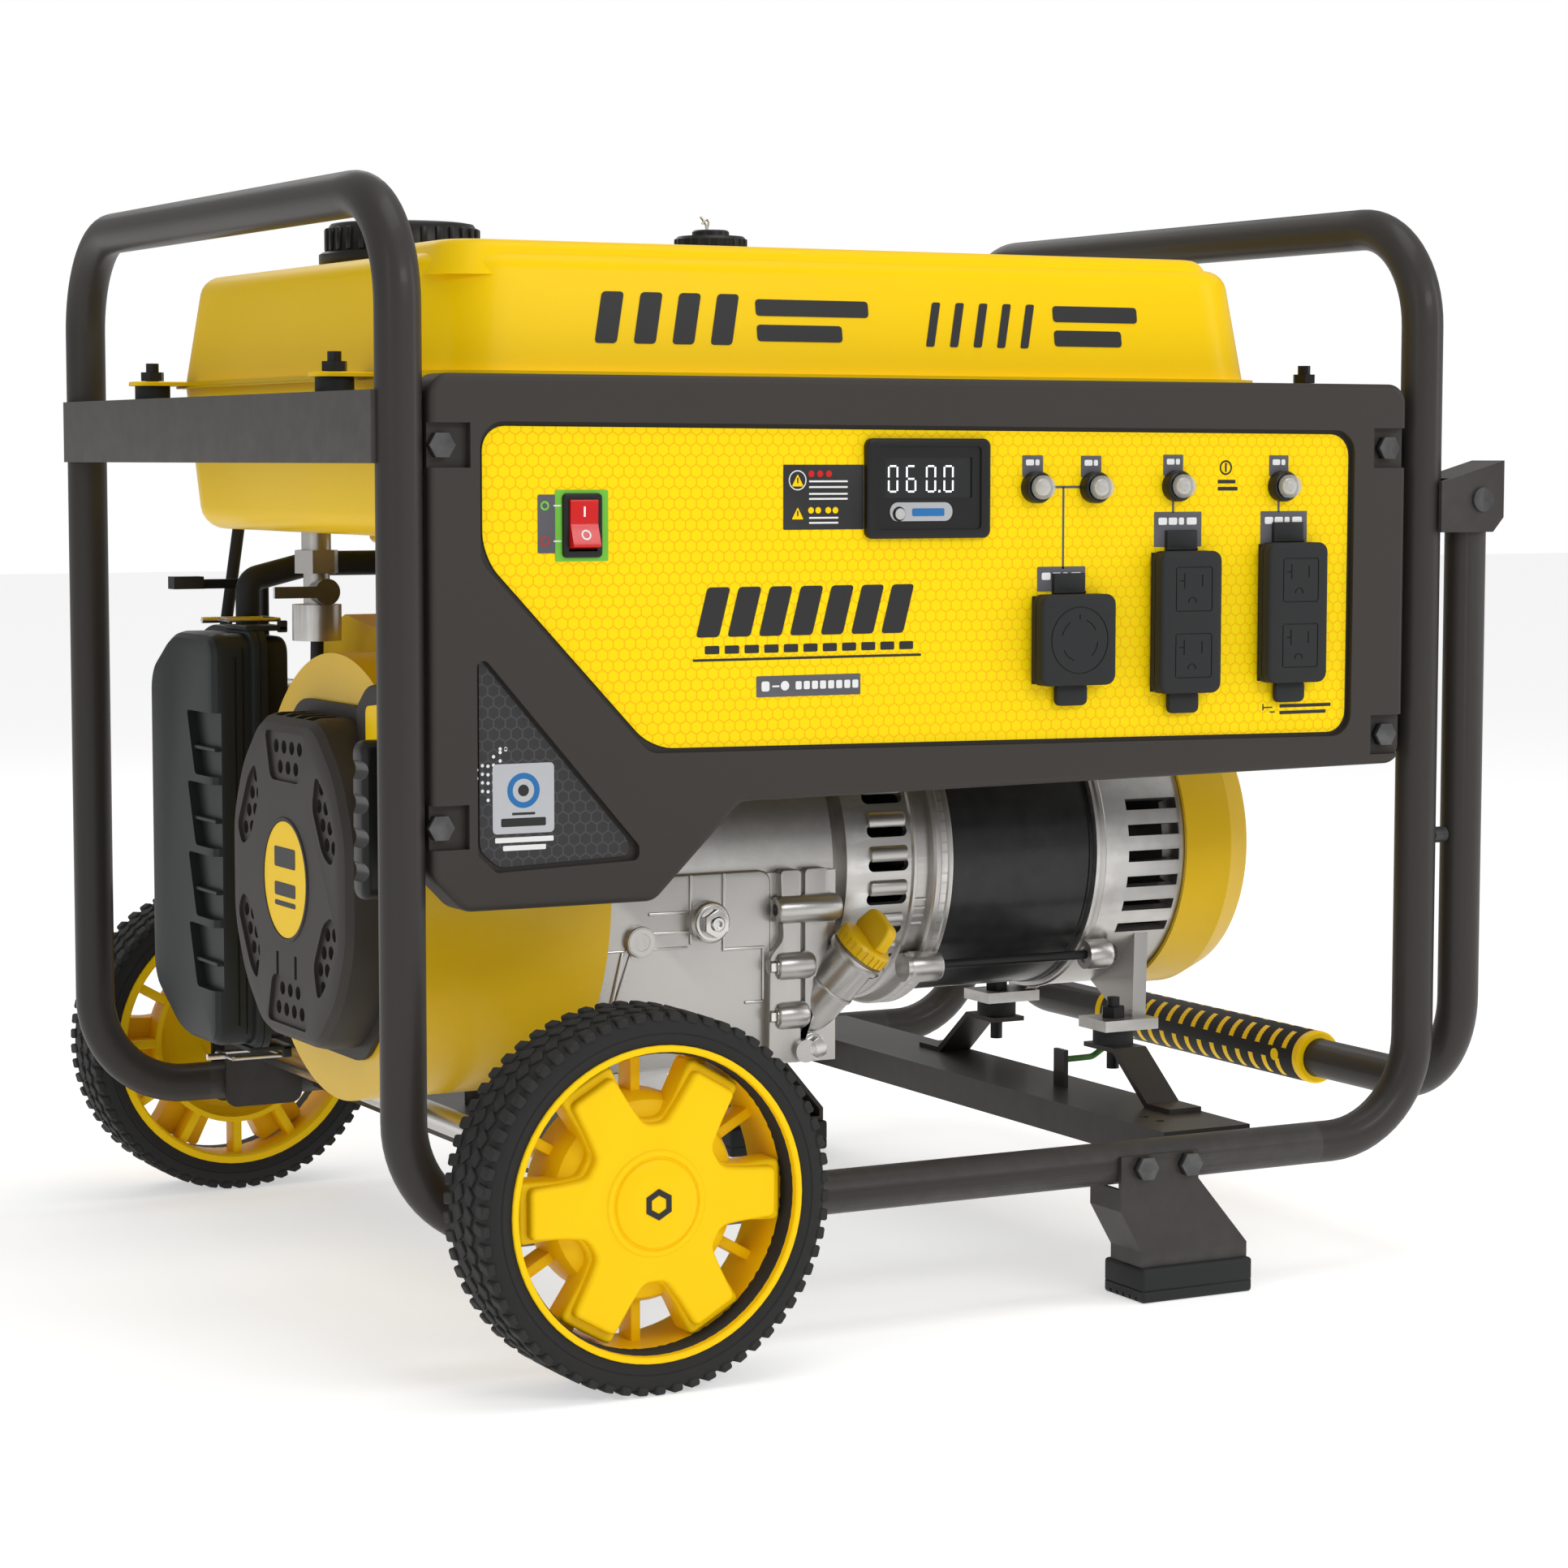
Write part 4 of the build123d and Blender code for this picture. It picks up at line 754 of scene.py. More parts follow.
# panel faces and their printing
panelSizes = {
    "face": -277.6, "back": -277.0,
    "main": [(-293.4, 519), (276.5, 516.5), (276, 336.5), (-193, 342.5), (-293.4, 449)],
    "side": [(-296, 395), (-207, 292), (-207, 284), (-285, 281), (-296, 291)],
    "switch": (-234.9, 465.4), "display": (-59.3, 21.8, 456.5, 513.2),
    "breakers": [(53.6, 485.3), (93.6, 485.1), (150.9, 485.8), (226.7, 485.5)],
    "outlets": {"twist_lock": (76.9, 396.9, 51, 53), "duplex_inner": (155.1, 405.7, 43, 84),
                "duplex_outer": (231.8, 410, 43, 84)},
}


def plate(x0, x1, z0, z1, corner=0.6, lift=0.18):
    # a thin printed patch on the panel's face
    y = panelSizes["face"]
    return prism(rectangle(x0, x1, z0, z1), y - lift, y + 0.1, "y", corner, 3)


def dot(x, z, radius, lift=0.22, sides=20):
    y = panelSizes["face"]
    return rod((x, y + 0.1, z), (x, y - lift, z), radius, sides=sides)


def hoop(x, z, outer, inner, y0, y1):
    return lathe([(outer, y0), (outer, y1), (inner, y1), (inner, y0)], (x, 0, z), "y", steps=28)


def makeFascias(sizes):
    switchX, switchZ = sizes["switch"]
    x0, x1, z0, z1 = sizes["display"]
    openings = [slab(switchX - 10.2, switchX + 10.2, -290, -270, switchZ - 15.7, switchZ + 15.7),
                slab(x0 + 5, x1 - 5, -290, -270, z0 + 5, z1 - 5)]
    openings += [rod((x, -290, z), (x, -270, z), 6.4, sides=24) for x, z in sizes["breakers"]]
    openings += [slab(x - w / 2 + 5.8, x + w / 2 - 5.8, -290, -270, z - h / 2 + 5.8, z + h / 2 - 5.8)
                 for x, z, w, h in sizes["outlets"].values()]
    main = carve(prism(sizes["main"], sizes["face"], sizes["back"], "y", 13, 6), gather(*openings))
    side = prism(sizes["side"], sizes["face"], sizes["back"], "y", 7, 5)
    keepPiece("panelFaces", gather((main, 0), (side, 1)), "chassis", ["fasciaYellow", "fasciaDark"],
              ["panel_fascias"])


def makePrinting(sizes):
    grey, dark, white, amber, red = [], [], [], [], []
    grey.append(plate(-261, -247, 450.5, 482.2, 1.0))
    for x, z in sizes["breakers"]:
        grey.append(plate(x - 8.4, x + 5.6, z + 6, z + 18.4, 0.6))
        white += [plate(x - 6.0, x - 0.6, z + 12.6, z + 16, 0.8, 0.26),
                  plate(x + 0.4, x + 3.2, z + 12.6, z + 16, 0.8, 0.26)]
    grey += [plate(56, 90, 484.7, 486.1, 0.1), plate(72.7, 74.0, 438, 485.4, 0.1)]
    grey += [plate(149.0, 150.4, 470, 480, 0.1), plate(224.8, 226.2, 470, 480, 0.1)]
    for low, high, level in ((55.8, 88.7, 425), (136.4, 169.9, 450), (212.5, 246.3, 450)):
        top = 439.3 if level == 425 else 470.6
        grey.append(plate(low, high, level, top, 0.6))
        steps = [(3, 9), (10.2, 16.2), (17.4, 21), (23, 30)]
        white += [plate(low + a, low + b, top - 7.6, top - 3.4, 0.9, 0.26) for a, b in steps]
    grey.append(plate(-127.8, -61.4, 368.8, 380.6, 0.6))
    white += [plate(-124.6, -119.6, 372, 377.6, 1.2, 0.26), plate(-117.8, -113.4, 374.2, 375.2, 0.2, 0.26),
              dot(-109.8, 374.9, 2.7, 0.26)]
    white += [plate(-103 + 5.2 * step, -99.2 + 5.2 * step, 372.6, 377.2, 0.8, 0.26) for step in range(8)]
    # warning strip beside the meter
    dark.append(plate(-110.9, -59.5, 462, 498.3, 0.6))
    red += [dot(x, 493.2, 1.9, 0.3) for x in (-93.2, -87.6, -82.0)]
    amber += [dot(x, 472.8, 1.8, 0.3) for x in (-93.4, -88.8, -82.4, -77.8)]
    for z in (489.0, 485.8, 482.0, 479.2, 468.6, 465.8):
        white.append(plate(-94.6, -70 if z > 470 else -76, z - 0.5, z + 0.5, 0.2, 0.3))
    for z in (489.6, 471.2):
        amber.append(prism([(-105.6, z - 3.4), (-98.2, z - 3.4), (-101.9, z + 3.4)], -277.95, -277.5, "y",
                           0.6, 2))
        dark.append(plate(-102.3, -101.5, z - 1.6, z + 1.4, 0.1, 0.45))
    white.append(hoop(-101.9, 489.6, 5.6, 5.0, -277.85, -277.5))
    # bold slanted bars, underlined
    for step in range(7):
        x = -165.5 + step * 19.6
        lean = [(x, 403), (x + 14.2, 403), (x + 21.4, 430.6), (x + 7.2, 430.6)]
        dark.append(prism(lean, -277.85, -277.5, "y", 2.0, 3))
    dark += [plate(-167.4, -21.8, 389.6, 391.0, 0.3)]
    dark += [plate(-160 + step * 12.4, -151 + step * 12.4, 393.6, 398.2, 0.8) for step in range(11)]
    # reset sign and the small note low on the right
    dark += [hoop(187, 496.6, 4.4, 3.4, -277.8, -277.5), plate(186.4, 187.6, 494, 499.4, 0.2)]
    dark += [plate(181.4, 194.0, 487.2, 489.4, 0.5), plate(181.4, 195.6, 483, 485.2, 0.5)]
    dark += [plate(215.4, 216.2, 351, 355, 0.1), plate(216, 222.6, 352.4, 353.2, 0.1),
             plate(221, 224.4, 349.6, 350.4, 0.1)]
    dark += [plate(228, 265.6, 352.4, 354.4, 0.4), plate(228, 262, 348.4, 350.4, 0.4)]
    # switch surround, with its two signs
    green = carve(plate(-250.7, -219.0, 446, 484.7, 1.0, 0.3),
                  slab(-245.2, -224.6, -279, -276, 449.2, 481.6))
    greenSign = hoop(-256.8, 476.2, 2.6, 1.5, -277.9, -277.5)
    red.append(hoop(-256.8, 457.0, 2.6, 1.9, -277.9, -277.5))
    white += [plate(-251.6, -247.2, 475.8, 476.6, 0.1, 0.34),
              plate(-251.6, -247.2, 456.6, 457.4, 0.1, 0.34)]
    # badge on the dark side face: plain plate, ring and bars, with a scatter of dots
    silver = plate(-288.4, -252.0, 299.2, 337.2, 2.4, 0.3)
    blue = hoop(-270.2, 322.5, 9.6, 6.4, -278.0, -277.6)
    dark += [plate(-283.5, -257, 303.0, 307.6, 0.8, 0.4), plate(-277, -263.4, 309.2, 310.6, 0.3, 0.4),
             dot(-270.2, 322.5, 3.2, 0.42)]
    white += [plate(-287, -252.4, 294.4, 297.2, 0.6, 0.24), plate(-282.4, -257, 290.0, 292.8, 0.6, 0.24)]
    for column, (low, count) in enumerate(((321, 2), (314, 4), (309, 5), (314, 5), (330, 3), (336, 2))):
        white += [dot(-297.0 + column * 3.3 - 0.6 + (0.0 if column < 4 else 0.6),
                      min(low + 4.6 * step + 9, 345.5), 0.95, 0.24, 10)
                  for step in range(count)]
    names = ["greyPrint", "darkPrint", "whitePrint", "tankEnamel", "rockerRed", "greenTrim", "silverLabel",
             "blueLabel"]
    sets = [grey, dark, white, amber, red, [green, greenSign], [silver], [blue]]
    shapes = [(gather(*group), number) for number, group in enumerate(sets)]
    keepPiece("panelPrinting", gather(*shapes), "chassis", names)


makeFascias(panelSizes)
makePrinting(panelSizes)
print("panel faces made")

# rocker switch
rockerSizes = {"x": -234.9, "z": 465.4, "pivotY": -275.0, "tilt": -9.0, "faceAngle": 10.9}


def makeSwitch(sizes):
    x, z, y = sizes["x"], sizes["z"], sizes["pivotY"]
    outer = prism(rectangle(x - 11.7, x + 11.7, z - 17.4, z + 17.4), -280.0, -277.5, "y", 2.4, 4)
    softenEnd(outer, (0, -1, 0), 0.9, 3)
    body = slab(x - 9.9, x + 9.9, -277.6, -257.5, z - 15.4, z + 15.4, soft=0.6)
    bezel = carve(gather(outer, body), slab(x - 8.5, x + 8.5, -282, -262, z - 14, z + 14))
    keepPiece("switchBezelDetail", bezel, "chassis", "blackPlastic", ["switch_bezel"])
    profile = [(y - 9, 13), (y - 6.5, 0), (y - 9, -13), (y, -13), (y + 1, 0), (y, 13)]
    key = prism([(a, b + z) for a, b in profile], x - 8.2, x + 8.2, "x", 1.3, 3)
    key = gather(key, rod((x - 9.3, y, z), (x + 9.3, y, z), 1.4, sides=20))
    line = turned(slab(x - 0.55, x + 0.55, y - 8.05, y - 7.6, z + 3.6, z + 9.2), (x, y - 7.7, z + 6.4),
                  "x", sizes["faceAngle"])
    ring = turned(hoop(x, z - 6.4, 2.9, 2.0, y - 8.1, y - 7.4), (x, y - 7.7, z - 6.4), "x",
                  -sizes["faceAngle"])
    rocker = gather((key, 0), (line, 1), (ring, 1))
    turned(rocker, (x, y, z), "x", sizes["tilt"])
    keepPiece("rockerDetail", rocker, "rocker", ["rockerRed", "whitePrint"], ["power_rocker"], sharp=30)


makeSwitch(rockerSizes)

# meter
meterSizes = {"box": (-59.3, 21.8, 456.5, 513.2), "front": -282.0, "well": (-53, 15.3, 461.5, 508.8),
              "window": (-47.5, 9.5, 479.2, 502.6), "strip": (-44.5, -3.6, 466.4, 477.0),
              "digits": "060.0", "digitX": [-45.2, -33.4, -20.4, -8.8], "digitLow": 482.6,
              "digitHigh": 498.0, "digitWide": 6.6}
litBars = {"0": "abcdef", "6": "acdefg"}


def makeMeter(sizes):
    x0, x1, z0, z1 = sizes["box"]
    front = sizes["front"]
    case = prism(rectangle(x0, x1, z0, z1), front, -277.4, "y", 4.5, 5)
    softenEnd(case, (0, -1, 0), 1.3, 3)
    a, b, c, d = sizes["well"]
    well = prism(rectangle(a, b, c, d), front - 1, front + 1.0, "y", 2.5, 3)
    e, f, g, h = sizes["window"]
    window = prism(rectangle(e, f, g, h), front - 1, front + 2.2, "y", 0.8, 2)
    rear = slab(x0 + 6, x1 - 6, -277.5, -256.5, z0 + 6, z1 - 6, soft=1.0)
    case = gather(carve(carve(case, well), window), rear)
    lens = slab(e + 0.05, f - 0.05, front + 1.9, front + 2.3, g + 0.05, h - 0.05)
    s, t, u, v = sizes["strip"]
    strip = prism(rectangle(s, t, u, v), front + 0.6, front + 1.1, "y", 5.0, 6)
    cut = rod((-38.6, front - 1, 470.5), (-38.6, front + 3, 470.5), 4.2, sides=28)
    strip = carve(strip, cut)
    badge = plate(-30, -9, 469.2, 473.6, 0.8)
    moved(badge, (0, front + 0.55 - panelSizes["face"], 0))
    lit = []
    wide, low, high, bar = sizes["digitWide"], sizes["digitLow"], sizes["digitHigh"], 1.0
    middle = (low + high) / 2
    for x, digit in zip(sizes["digitX"], sizes["digits"].replace(".", "")):
        flat = {"a": high - bar, "g": middle - bar / 2, "d": low}
        upright = {"f": (x, middle, high), "b": (x + wide - bar, middle, high), "e": (x, low, middle),
                   "c": (x + wide - bar, low, middle)}
        for name in litBars[digit]:
            if name in flat:
                lit.append(slab(x + 1.3, x + wide - 1.3, front + 1.75, front + 1.95, flat[name], flat[name]
                                + bar))
            else:
                left, base, top = upright[name]
                lit.append(slab(left, left + bar, front + 1.75, front + 1.95, base + 0.9, top - 0.9))
    lit.append(slab(-12.2, -10.9, front + 1.75, front + 1.95, low, low + 1.3))
    shape = gather((case, 0), (lens, 1), (gather(*lit), 2), (strip, 3), (badge, 4))
    keepPiece("meterDetail", shape, "chassis", ["blackPlastic", "smokedLens", "litSegment", "silverLabel",
                                                "blueLabel"], ["display_module"])


makeMeter(meterSizes)

# breakers: pairs of radius and depth
breakerSizes = {"collar": [(9.2, -277.5), (9.2, -283.2), (8.6, -284.6), (7.6, -285.0), (6.9, -284.4),
                           (6.4, -281.5), (6.2, -262), (9.0, -262), (9.0, -276.9)],
                "button": [(0, -289.4), (2.4, -289.4), (2.9, -288.9), (3.1, -288.2), (4.5, -288.0),
                           (5.0, -287.4), (5.0, -268), (0, -268)],
                "boot": [(7.0, -284.6), (6.9, -287.6), (6.0, -290.3), (4.0, -292.4), (0, -293.4),
                         (0, -293.0), (3.8, -292.0), (5.6, -290.1), (6.5, -287.5), (6.6, -284.6)]}


def makeBreakers(sizes):
    for number, (x, z) in enumerate(panelSizes["breakers"], 1):
        button = lathe(sizes["button"], (x, 0, z), "y", steps=32)
        keepPiece("breakerButton%d" % number, button, "breaker_%d" % number, "machinedSteel",
                  ["breaker_button_%d" % number])
    collars = gather(*[lathe(sizes["collar"], (x, 0, z), "y", steps=40) for x, z in panelSizes["breakers"]])
    keepPiece("breakerCollars", collars, "chassis", "blackPlastic", ["breaker_bodies"])
    boots = gather(*[lathe(sizes["boot"], (x + 0.8, 0, z), "y", steps=32) for x,
                     z in panelSizes["breakers"]])
    keepPiece("breakerBoots", boots, "chassis", "clearDome")


makeBreakers(breakerSizes)

# outlet covers
coverSizes = {"front": -291.0, "back": -279.4, "corner": 6.0, "lip": 2.0, "groove": 0.55, "line": 0.7}


def frameLine(x, z, wide, high, depth, line):
    y = coverSizes["front"]
    outer = prism(around(x, z, wide, high),
                  y - 1, y + depth, "y", 1.6, 2)
    inner = slab(x - wide / 2 + line, x + wide / 2 - line, y - 2, y + depth + 1, z - high / 2 + line, z
                 + high / 2 - line)
    return carve(outer, inner)


def makeCover(name, x, z, wide, high, sizes):
    y0, y1, deep, line = sizes["front"], sizes["back"], sizes["groove"], sizes["line"]
    body = prism(around(x, z, wide, high),
                 y0, y1, "y", sizes["corner"], 5)
    softenEnd(body, (0, -1, 0), sizes["lip"], 3)
    hollow = slab(x - wide / 2 + 2.5, x + wide / 2 - 2.5, y0 + 3, y1 + 1, z - high / 2 + 2.5, z
                  + high / 2 - 2.5)
    seam = prism(rectangle(x - wide, x + wide, z - high, z + high), y1 - 4.6, y1 - 4.0, "y")
    core = prism(rectangle(x - wide / 2 + 0.7, x + wide / 2 - 0.7, z - high / 2 + 0.7, z + high / 2 - 0.7),
                 y1 - 6, y1 - 2, "y", sizes["corner"], 5)
    cuts = [hollow, carve(seam, core)]
    if name == "twist_lock":
        cuts.append(lathe([(19.6, y0 - 1), (19.6, y0 + deep), (18.9, y0 + deep), (18.9, y0 - 1)],
                          (x, 0, z), "y", steps=64))
        for start in (20, 95, 200, 285):
            cuts.append(lathe([(12.6, y0 - 1), (12.6, y0 + deep), (11.9, y0 + deep), (11.9, y0 - 1)],
                              (x, 0, z), "y",
                              steps=8, turn=42, start=start))
        cuts.append(slab(x - 0.4, x + 0.4, y0 - 1, y0 + deep, z + 12.2, z + 15.0))
    else:
        for middle in (z + 19.6, z - 19.6):
            cuts.append(frameLine(x + 1.2, middle, 26, 26.5, deep, line))
            cuts += [slab(x + 6.6, x + 7.4, y0 - 1, y0 + deep, middle + 1.5, middle + 8.5),
                     slab(x - 6.0, x - 5.2, y0 - 1, y0 + deep, middle + 0.5, middle + 9.5),
                     slab(x - 9.0, x - 6.2, y0 - 1, y0 + deep, middle + 4.6, middle + 5.4)]
            cuts.append(lathe([(3.0, y0 - 1), (3.0, y0 + deep), (2.3, y0 + deep), (2.3, y0 - 1)],
                              (x, 0, middle - 7.5), "y",
                              steps=10, turn=200, start=-100))
    body = carve(body, gather(*cuts))
    tab = prism(rectangle(x - 10.6, x + 10.6, z - high / 2 + 1.5, z - high / 2 - 12),
                y1 - 4.0, y1 - 0.6, "y", 3.6, 4)
    softenEnd(tab, (0, -1, 0), 1.0, 2)
    keepPiece("cover_" + name + "_detail", gather(body, tab), name + "_flap", "blackRubber",
              ["cover_" + name], sharp=30)
    top = z + high / 2
    strap = prism(rectangle(x - 10.8, x + 10.8, top + 0.6, top + 11.9), -280.0, -277.5, "y", 1.2, 3)
    softenEnd(strap, (0, -1, 0), 0.9, 2)
    keepPiece("strap_" + name, strap, "chassis", "blackRubber")


for outletName, (outletX, outletZ, outletWide, outletHigh) in panelSizes["outlets"].items():
    makeCover(outletName, outletX, outletZ, outletWide, outletHigh, coverSizes)
print("switch, meter, breakers and outlet covers made")

# recoil starter cover
recoilSizes = {"face": -322.0, "back": -290.5, "y": -50.0, "z": 254.0, "label": 34.5, "hole": 4.1,
               "outline": [(-46, 97), (46, 97), (79, 68), (97, 32), (97, -32), (79, -68), (46, -97),
                           (-46, -97), (-79, -68), (-97, -32), (-97, 32), (-79, 68)],
               "topWell": [(-33, 87), (33, 87), (24, 58), (-24, 58)],
               "topHoles": [(-19.2, 78), (-6.4, 78), (6.4, 78), (19.2, 78), (-12.8, 66), (0, 66),
                            (12.8, 66)],
               "sideWell": [(50, 66), (62, 58), (82, 26), (74, 14), (60, 20), (44, 46)],
               "sideHoles": [(54, 58), (50, 47.5), (61, 47), (56, 37), (67, 36), (62, 26), (73, 25)]}


def makeRecoil(sizes):
    face, y, z = sizes["face"], sizes["y"], sizes["z"]
    place = lambda pairs, a=1, b=1: [(y + a * p, z + b * q) for p, q in pairs]
    shell = prism(place(sizes["outline"]), face, sizes["back"] - 2, "x", 12, 4)
    softenEnd(shell, (-1, 0, 0), 11, 3)
    wells, holes = [], []
    for up in (-1, 1):
        wells.append(prism(place(sizes["topWell"], 1, up), face - 2, face + 2.2, "x", 5, 3))
        holes += [rod((face, y + p, z + up * q), (face + 7, y + p, z + up * q), sizes["hole"], sides=16)
                  for p, q in sizes["topHoles"]]
        for side in (-1, 1):
            wells.append(prism(place(sizes["sideWell"], side, up), face - 2, face + 2.2, "x", 5, 3))
            holes += [rod((face, y + side * p, z + up * q), (face + 7, y + side * p, z + up * q),
                          sizes["hole"], sides=16)
                      for p, q in sizes["sideHoles"]]
    slots = [slab(-316, -297, y + step * 17 - 6.4, y + step * 17 + 6.4, z + 90, z + 100)
             for step in (-1.5, -0.5, 0.5, 1.5)]
    slots += [slab(face - 1, face + 7, y + side * 15 - 2, y + side * 15 + 2, z - 58, z - 44)
              for side in (-1, 1)]
    shell = carve(shell, gather(*wells))
    shell = carve(shell, gather(*holes, *slots))
    flange = prism(place([(p * 1.075, q * 1.075) for p, q in sizes["outline"]]), sizes["back"] - 3,
                   sizes["back"] + 0.3, "x", 12, 4)
    ring = lathe([(sizes["label"] + 2.6, face - 0.4), (sizes["label"] + 2.0, face - 0.9),
                  (sizes["label"] + 0.6, face - 0.9),
                  (sizes["label"], face + 0.6), (sizes["label"] + 2.6, face + 0.6)], (0, y, z), "x",
                 steps=64)
    keepPiece("recoilShell", gather(shell, flange, ring), "chassis", "panelPlastic", ["recoil_cover"],
              sharp=28)
    label = rod((face + 0.3, y, z), (face - 0.35, y, z), sizes["label"], sides=64)
    bars = [prism(rectangle(y + 17, y - 17, z + low, z + high), face - 0.55, face - 0.2, "x", 1.6, 3)
            for low, high in ((7, 19), (-10, -2), (-16, -13))]
    keepPiece("recoilLabel", gather((label, 0), (gather(*bars), 1)), "chassis", ["tankEnamel", "darkPrint"])


makeRecoil(recoilSizes)


def makeShroudPlate():
    outline = [(-104, 358), (-122, 372), (-168, 376), (-176, 304), (-146, 296), (-112, 326)]
    backing = softenEnd(prism(outline, -299, -290.4, "x", 6, 4), (-1, 0, 0), 2, 3)
    sticker = prism([(-122, 360), (-162, 364), (-168, 312), (-148, 306), (-122, 332)], -299.4, -298.8, "x",
                    4, 3)
    keepPiece("shroudPlate", gather((backing, 0), (sticker, 1)), "chassis", ["panelPlastic", "tankEnamel"])


makeShroudPlate()

# starter grip: a rounded bar with finger waves
gripSizes = {"x": (-327, -311), "y": -178.0, "z": 300.0, "half": 45, "halfWide": 10}


def makeStarterGrip(sizes):
    x0, x1 = sizes["x"]
    y, z, half, wide = sizes["y"], sizes["z"], sizes["half"], sizes["halfWide"]
    outline = rectangle(y - wide, y + wide, z - half, z + half)
    bar = softenEnd(softenEnd(prism(outline, x0, x1, "x", 8, 5), (-1, 0, 0), 5, 4), (1, 0, 0), 3, 3)
    waves = [rod((x0 - 3.4, y - 20, z + step * 19), (x0 - 3.4, y + 20, z + step * 19), 6.5, sides=28)
             for step in (-1.5, -0.5, 0.5, 1.5)]
    stem = lathe([(4.9, -292), (4.9, -306), (7.5, -311.4), (0, -311.4), (0, -292)], (0, y, z), "x",
                 steps=28)
    keepPiece("starterGripDetail", gather(carve(bar, gather(*waves)), stem), "recoil_handle",
              "blackPlastic", ["starter_grip"])


makeStarterGrip(gripSizes)
print("recoil starter made")

# air filter box
filterSizes = {"x": (-314, -283, -262), "pockets": 4, "pocketLow": 168, "pocketStep": 45,
               "outline": [(98, 132), (98, 392), (178, 392), (222, 366), (222, 162), (168, 132)]}


def grown(outline, step):
    # the same outline, drawn out from its middle
    xs, ys = [p for p, q in outline], [q for p, q in outline]
    mx, my, wx, wy = (min(xs) + max(xs)) / 2, (min(ys) + max(ys)) / 2, max(xs) - min(xs), max(ys) - min(ys)
    return [(mx + (p - mx) * (1 + 2 * step / wx), my + (q - my) * (1 + 2 * step / wy)) for p, q in outline]


def makeFilter(sizes):
    x0, x1, x2 = sizes["x"]
    outline = sizes["outline"]
    cover = softenEnd(prism(outline, x0, x1, "x", 13, 5), (-1, 0, 0), 8, 3)
    levels = [sizes["pocketLow"] + sizes["pocketStep"] * step for step in range(sizes["pockets"])]
    wells = [prism([(90, z), (132, z), (146, z + 40), (90, z + 40)], x0 - 3, x0 + 6, "x", 3, 3)
             for z in levels]
    wells += [slab(x0 + 15, x0 + 16.2, 90, 99.2, 146, 378), slab(x0 + 20, x0 + 21.2, 90, 99.2, 140, 384)]
    cover = carve(cover, gather(*wells))
    ribs = [slab(x0 + 1.6, x0 + 8, 99, 138, z + 15.8, z + 18.2, soft=0.4, steps=1) for z in levels]
    rim = softenEnd(prism(grown(outline, 3.6), x1 - 5.5, x1 - 0.4, "x", 14, 5), (-1, 0, 0), 1.4, 2)
    keepPiece("filterCover", gather(cover, rim, *ribs), "chassis", "filterPlastic", ["air_filter_cover"],
              sharp=28)
    lip = prism(grown(outline, 3.8), x1, x1 + 4.6, "x", 14, 5)
    back = softenEnd(prism(grown(outline, -2), x1 + 3, x2, "x", 11, 5), (1, 0, 0), 4, 3)
    keeps = [slab(-290, -262, 121 - 19, 121 + 19, z, z + 3.2, soft=0.8) for z in (393.6, 127.4)]
    keeps += [slab(-268, -262, 121 + side * 17 - 2, 121 + side * 17 + 2, z - 1.5, z + 6, soft=0.8)
              for z in (394, 124) for side in (-1, 1)]
    keepPiece("filterBase", gather(lip, back, *keeps), "chassis", "filterPlastic", ["air_filter_base"],
              sharp=28)


makeFilter(filterSizes)
print("air filter made")

# fuel cap and vent
capSizes = {"x": -212.0, "y": 30.0, "ribs": 30,
            "profile": [(37.2, 619.2), (50.4, 619.2), (51.0, 620.2), (51.0, 625.5), (49.0, 626.8),
                        (46.2, 627.6), (45.8, 641), (43.5, 644.2), (39, 645.0), (24, 645.0),
                        (22.5, 643.6), (0, 643.6), (0, 634), (37.2, 634)]}


def makeCap(sizes):
    x, y = sizes["x"], sizes["y"]
    cap = lathe(sizes["profile"], (x, y, 0), "z", steps=90)
    rib = slab(44.2, 47.6, -2.1, 2.1, 627.6, 641.5, soft=1.0)
    ribs = moved(ringOf(rib, sizes["ribs"], "z"), (x, y, 0))
    bar = slab(x - 21, x + 21, y - 3.5, y + 3.5, 643, 644.9, soft=0.8)
    keepPiece("fuelCapDetail", gather(cap, ribs, bar), "tank_cap", "blackPlastic", ["fuel_cap"])
    valve = lathe([(27, 620.5), (27, 631.5), (25.5, 633.8), (22.8, 634.4), (22.8, 641), (21, 643),
                   (12, 643.4), (11.8, 646), (10.6, 647), (0, 647), (0, 620.5)],
                  (0, 30, 0), "z", steps=56)
    ribs = moved(ringOf(slab(21.4, 23.4, -1, 1, 634.4, 641.4, soft=0.4, steps=1), 24, "z"), (0, 30, 0))
    nozzle = rod((-13, 29.8, 634.5), (-37, 34.6, 628.6), 4.3, soft=0.8, sides=24)
    keepPiece("ventDetail", gather(valve, ribs, nozzle), "chassis", "blackPlastic", ["vent_valve"])


makeCap(capSizes)
ventClip = [(-8, 26, 650.6), (-6.6, 26, 653.4), (-4.4, 26, 653.8), (-3.2, 26, 651.6), (-4.2, 26, 649),
            (-4.8, 26, 646), (-3.4, 26, 643.6),
            (-5.8, 26, 646.4), (-4.6, 26, 649.6), (-6.6, 26, 652), (-9.4, 26, 655.4)]
tubeAlong(ventClip, 0.7, "ventClip", "machinedSteel", "chassis")

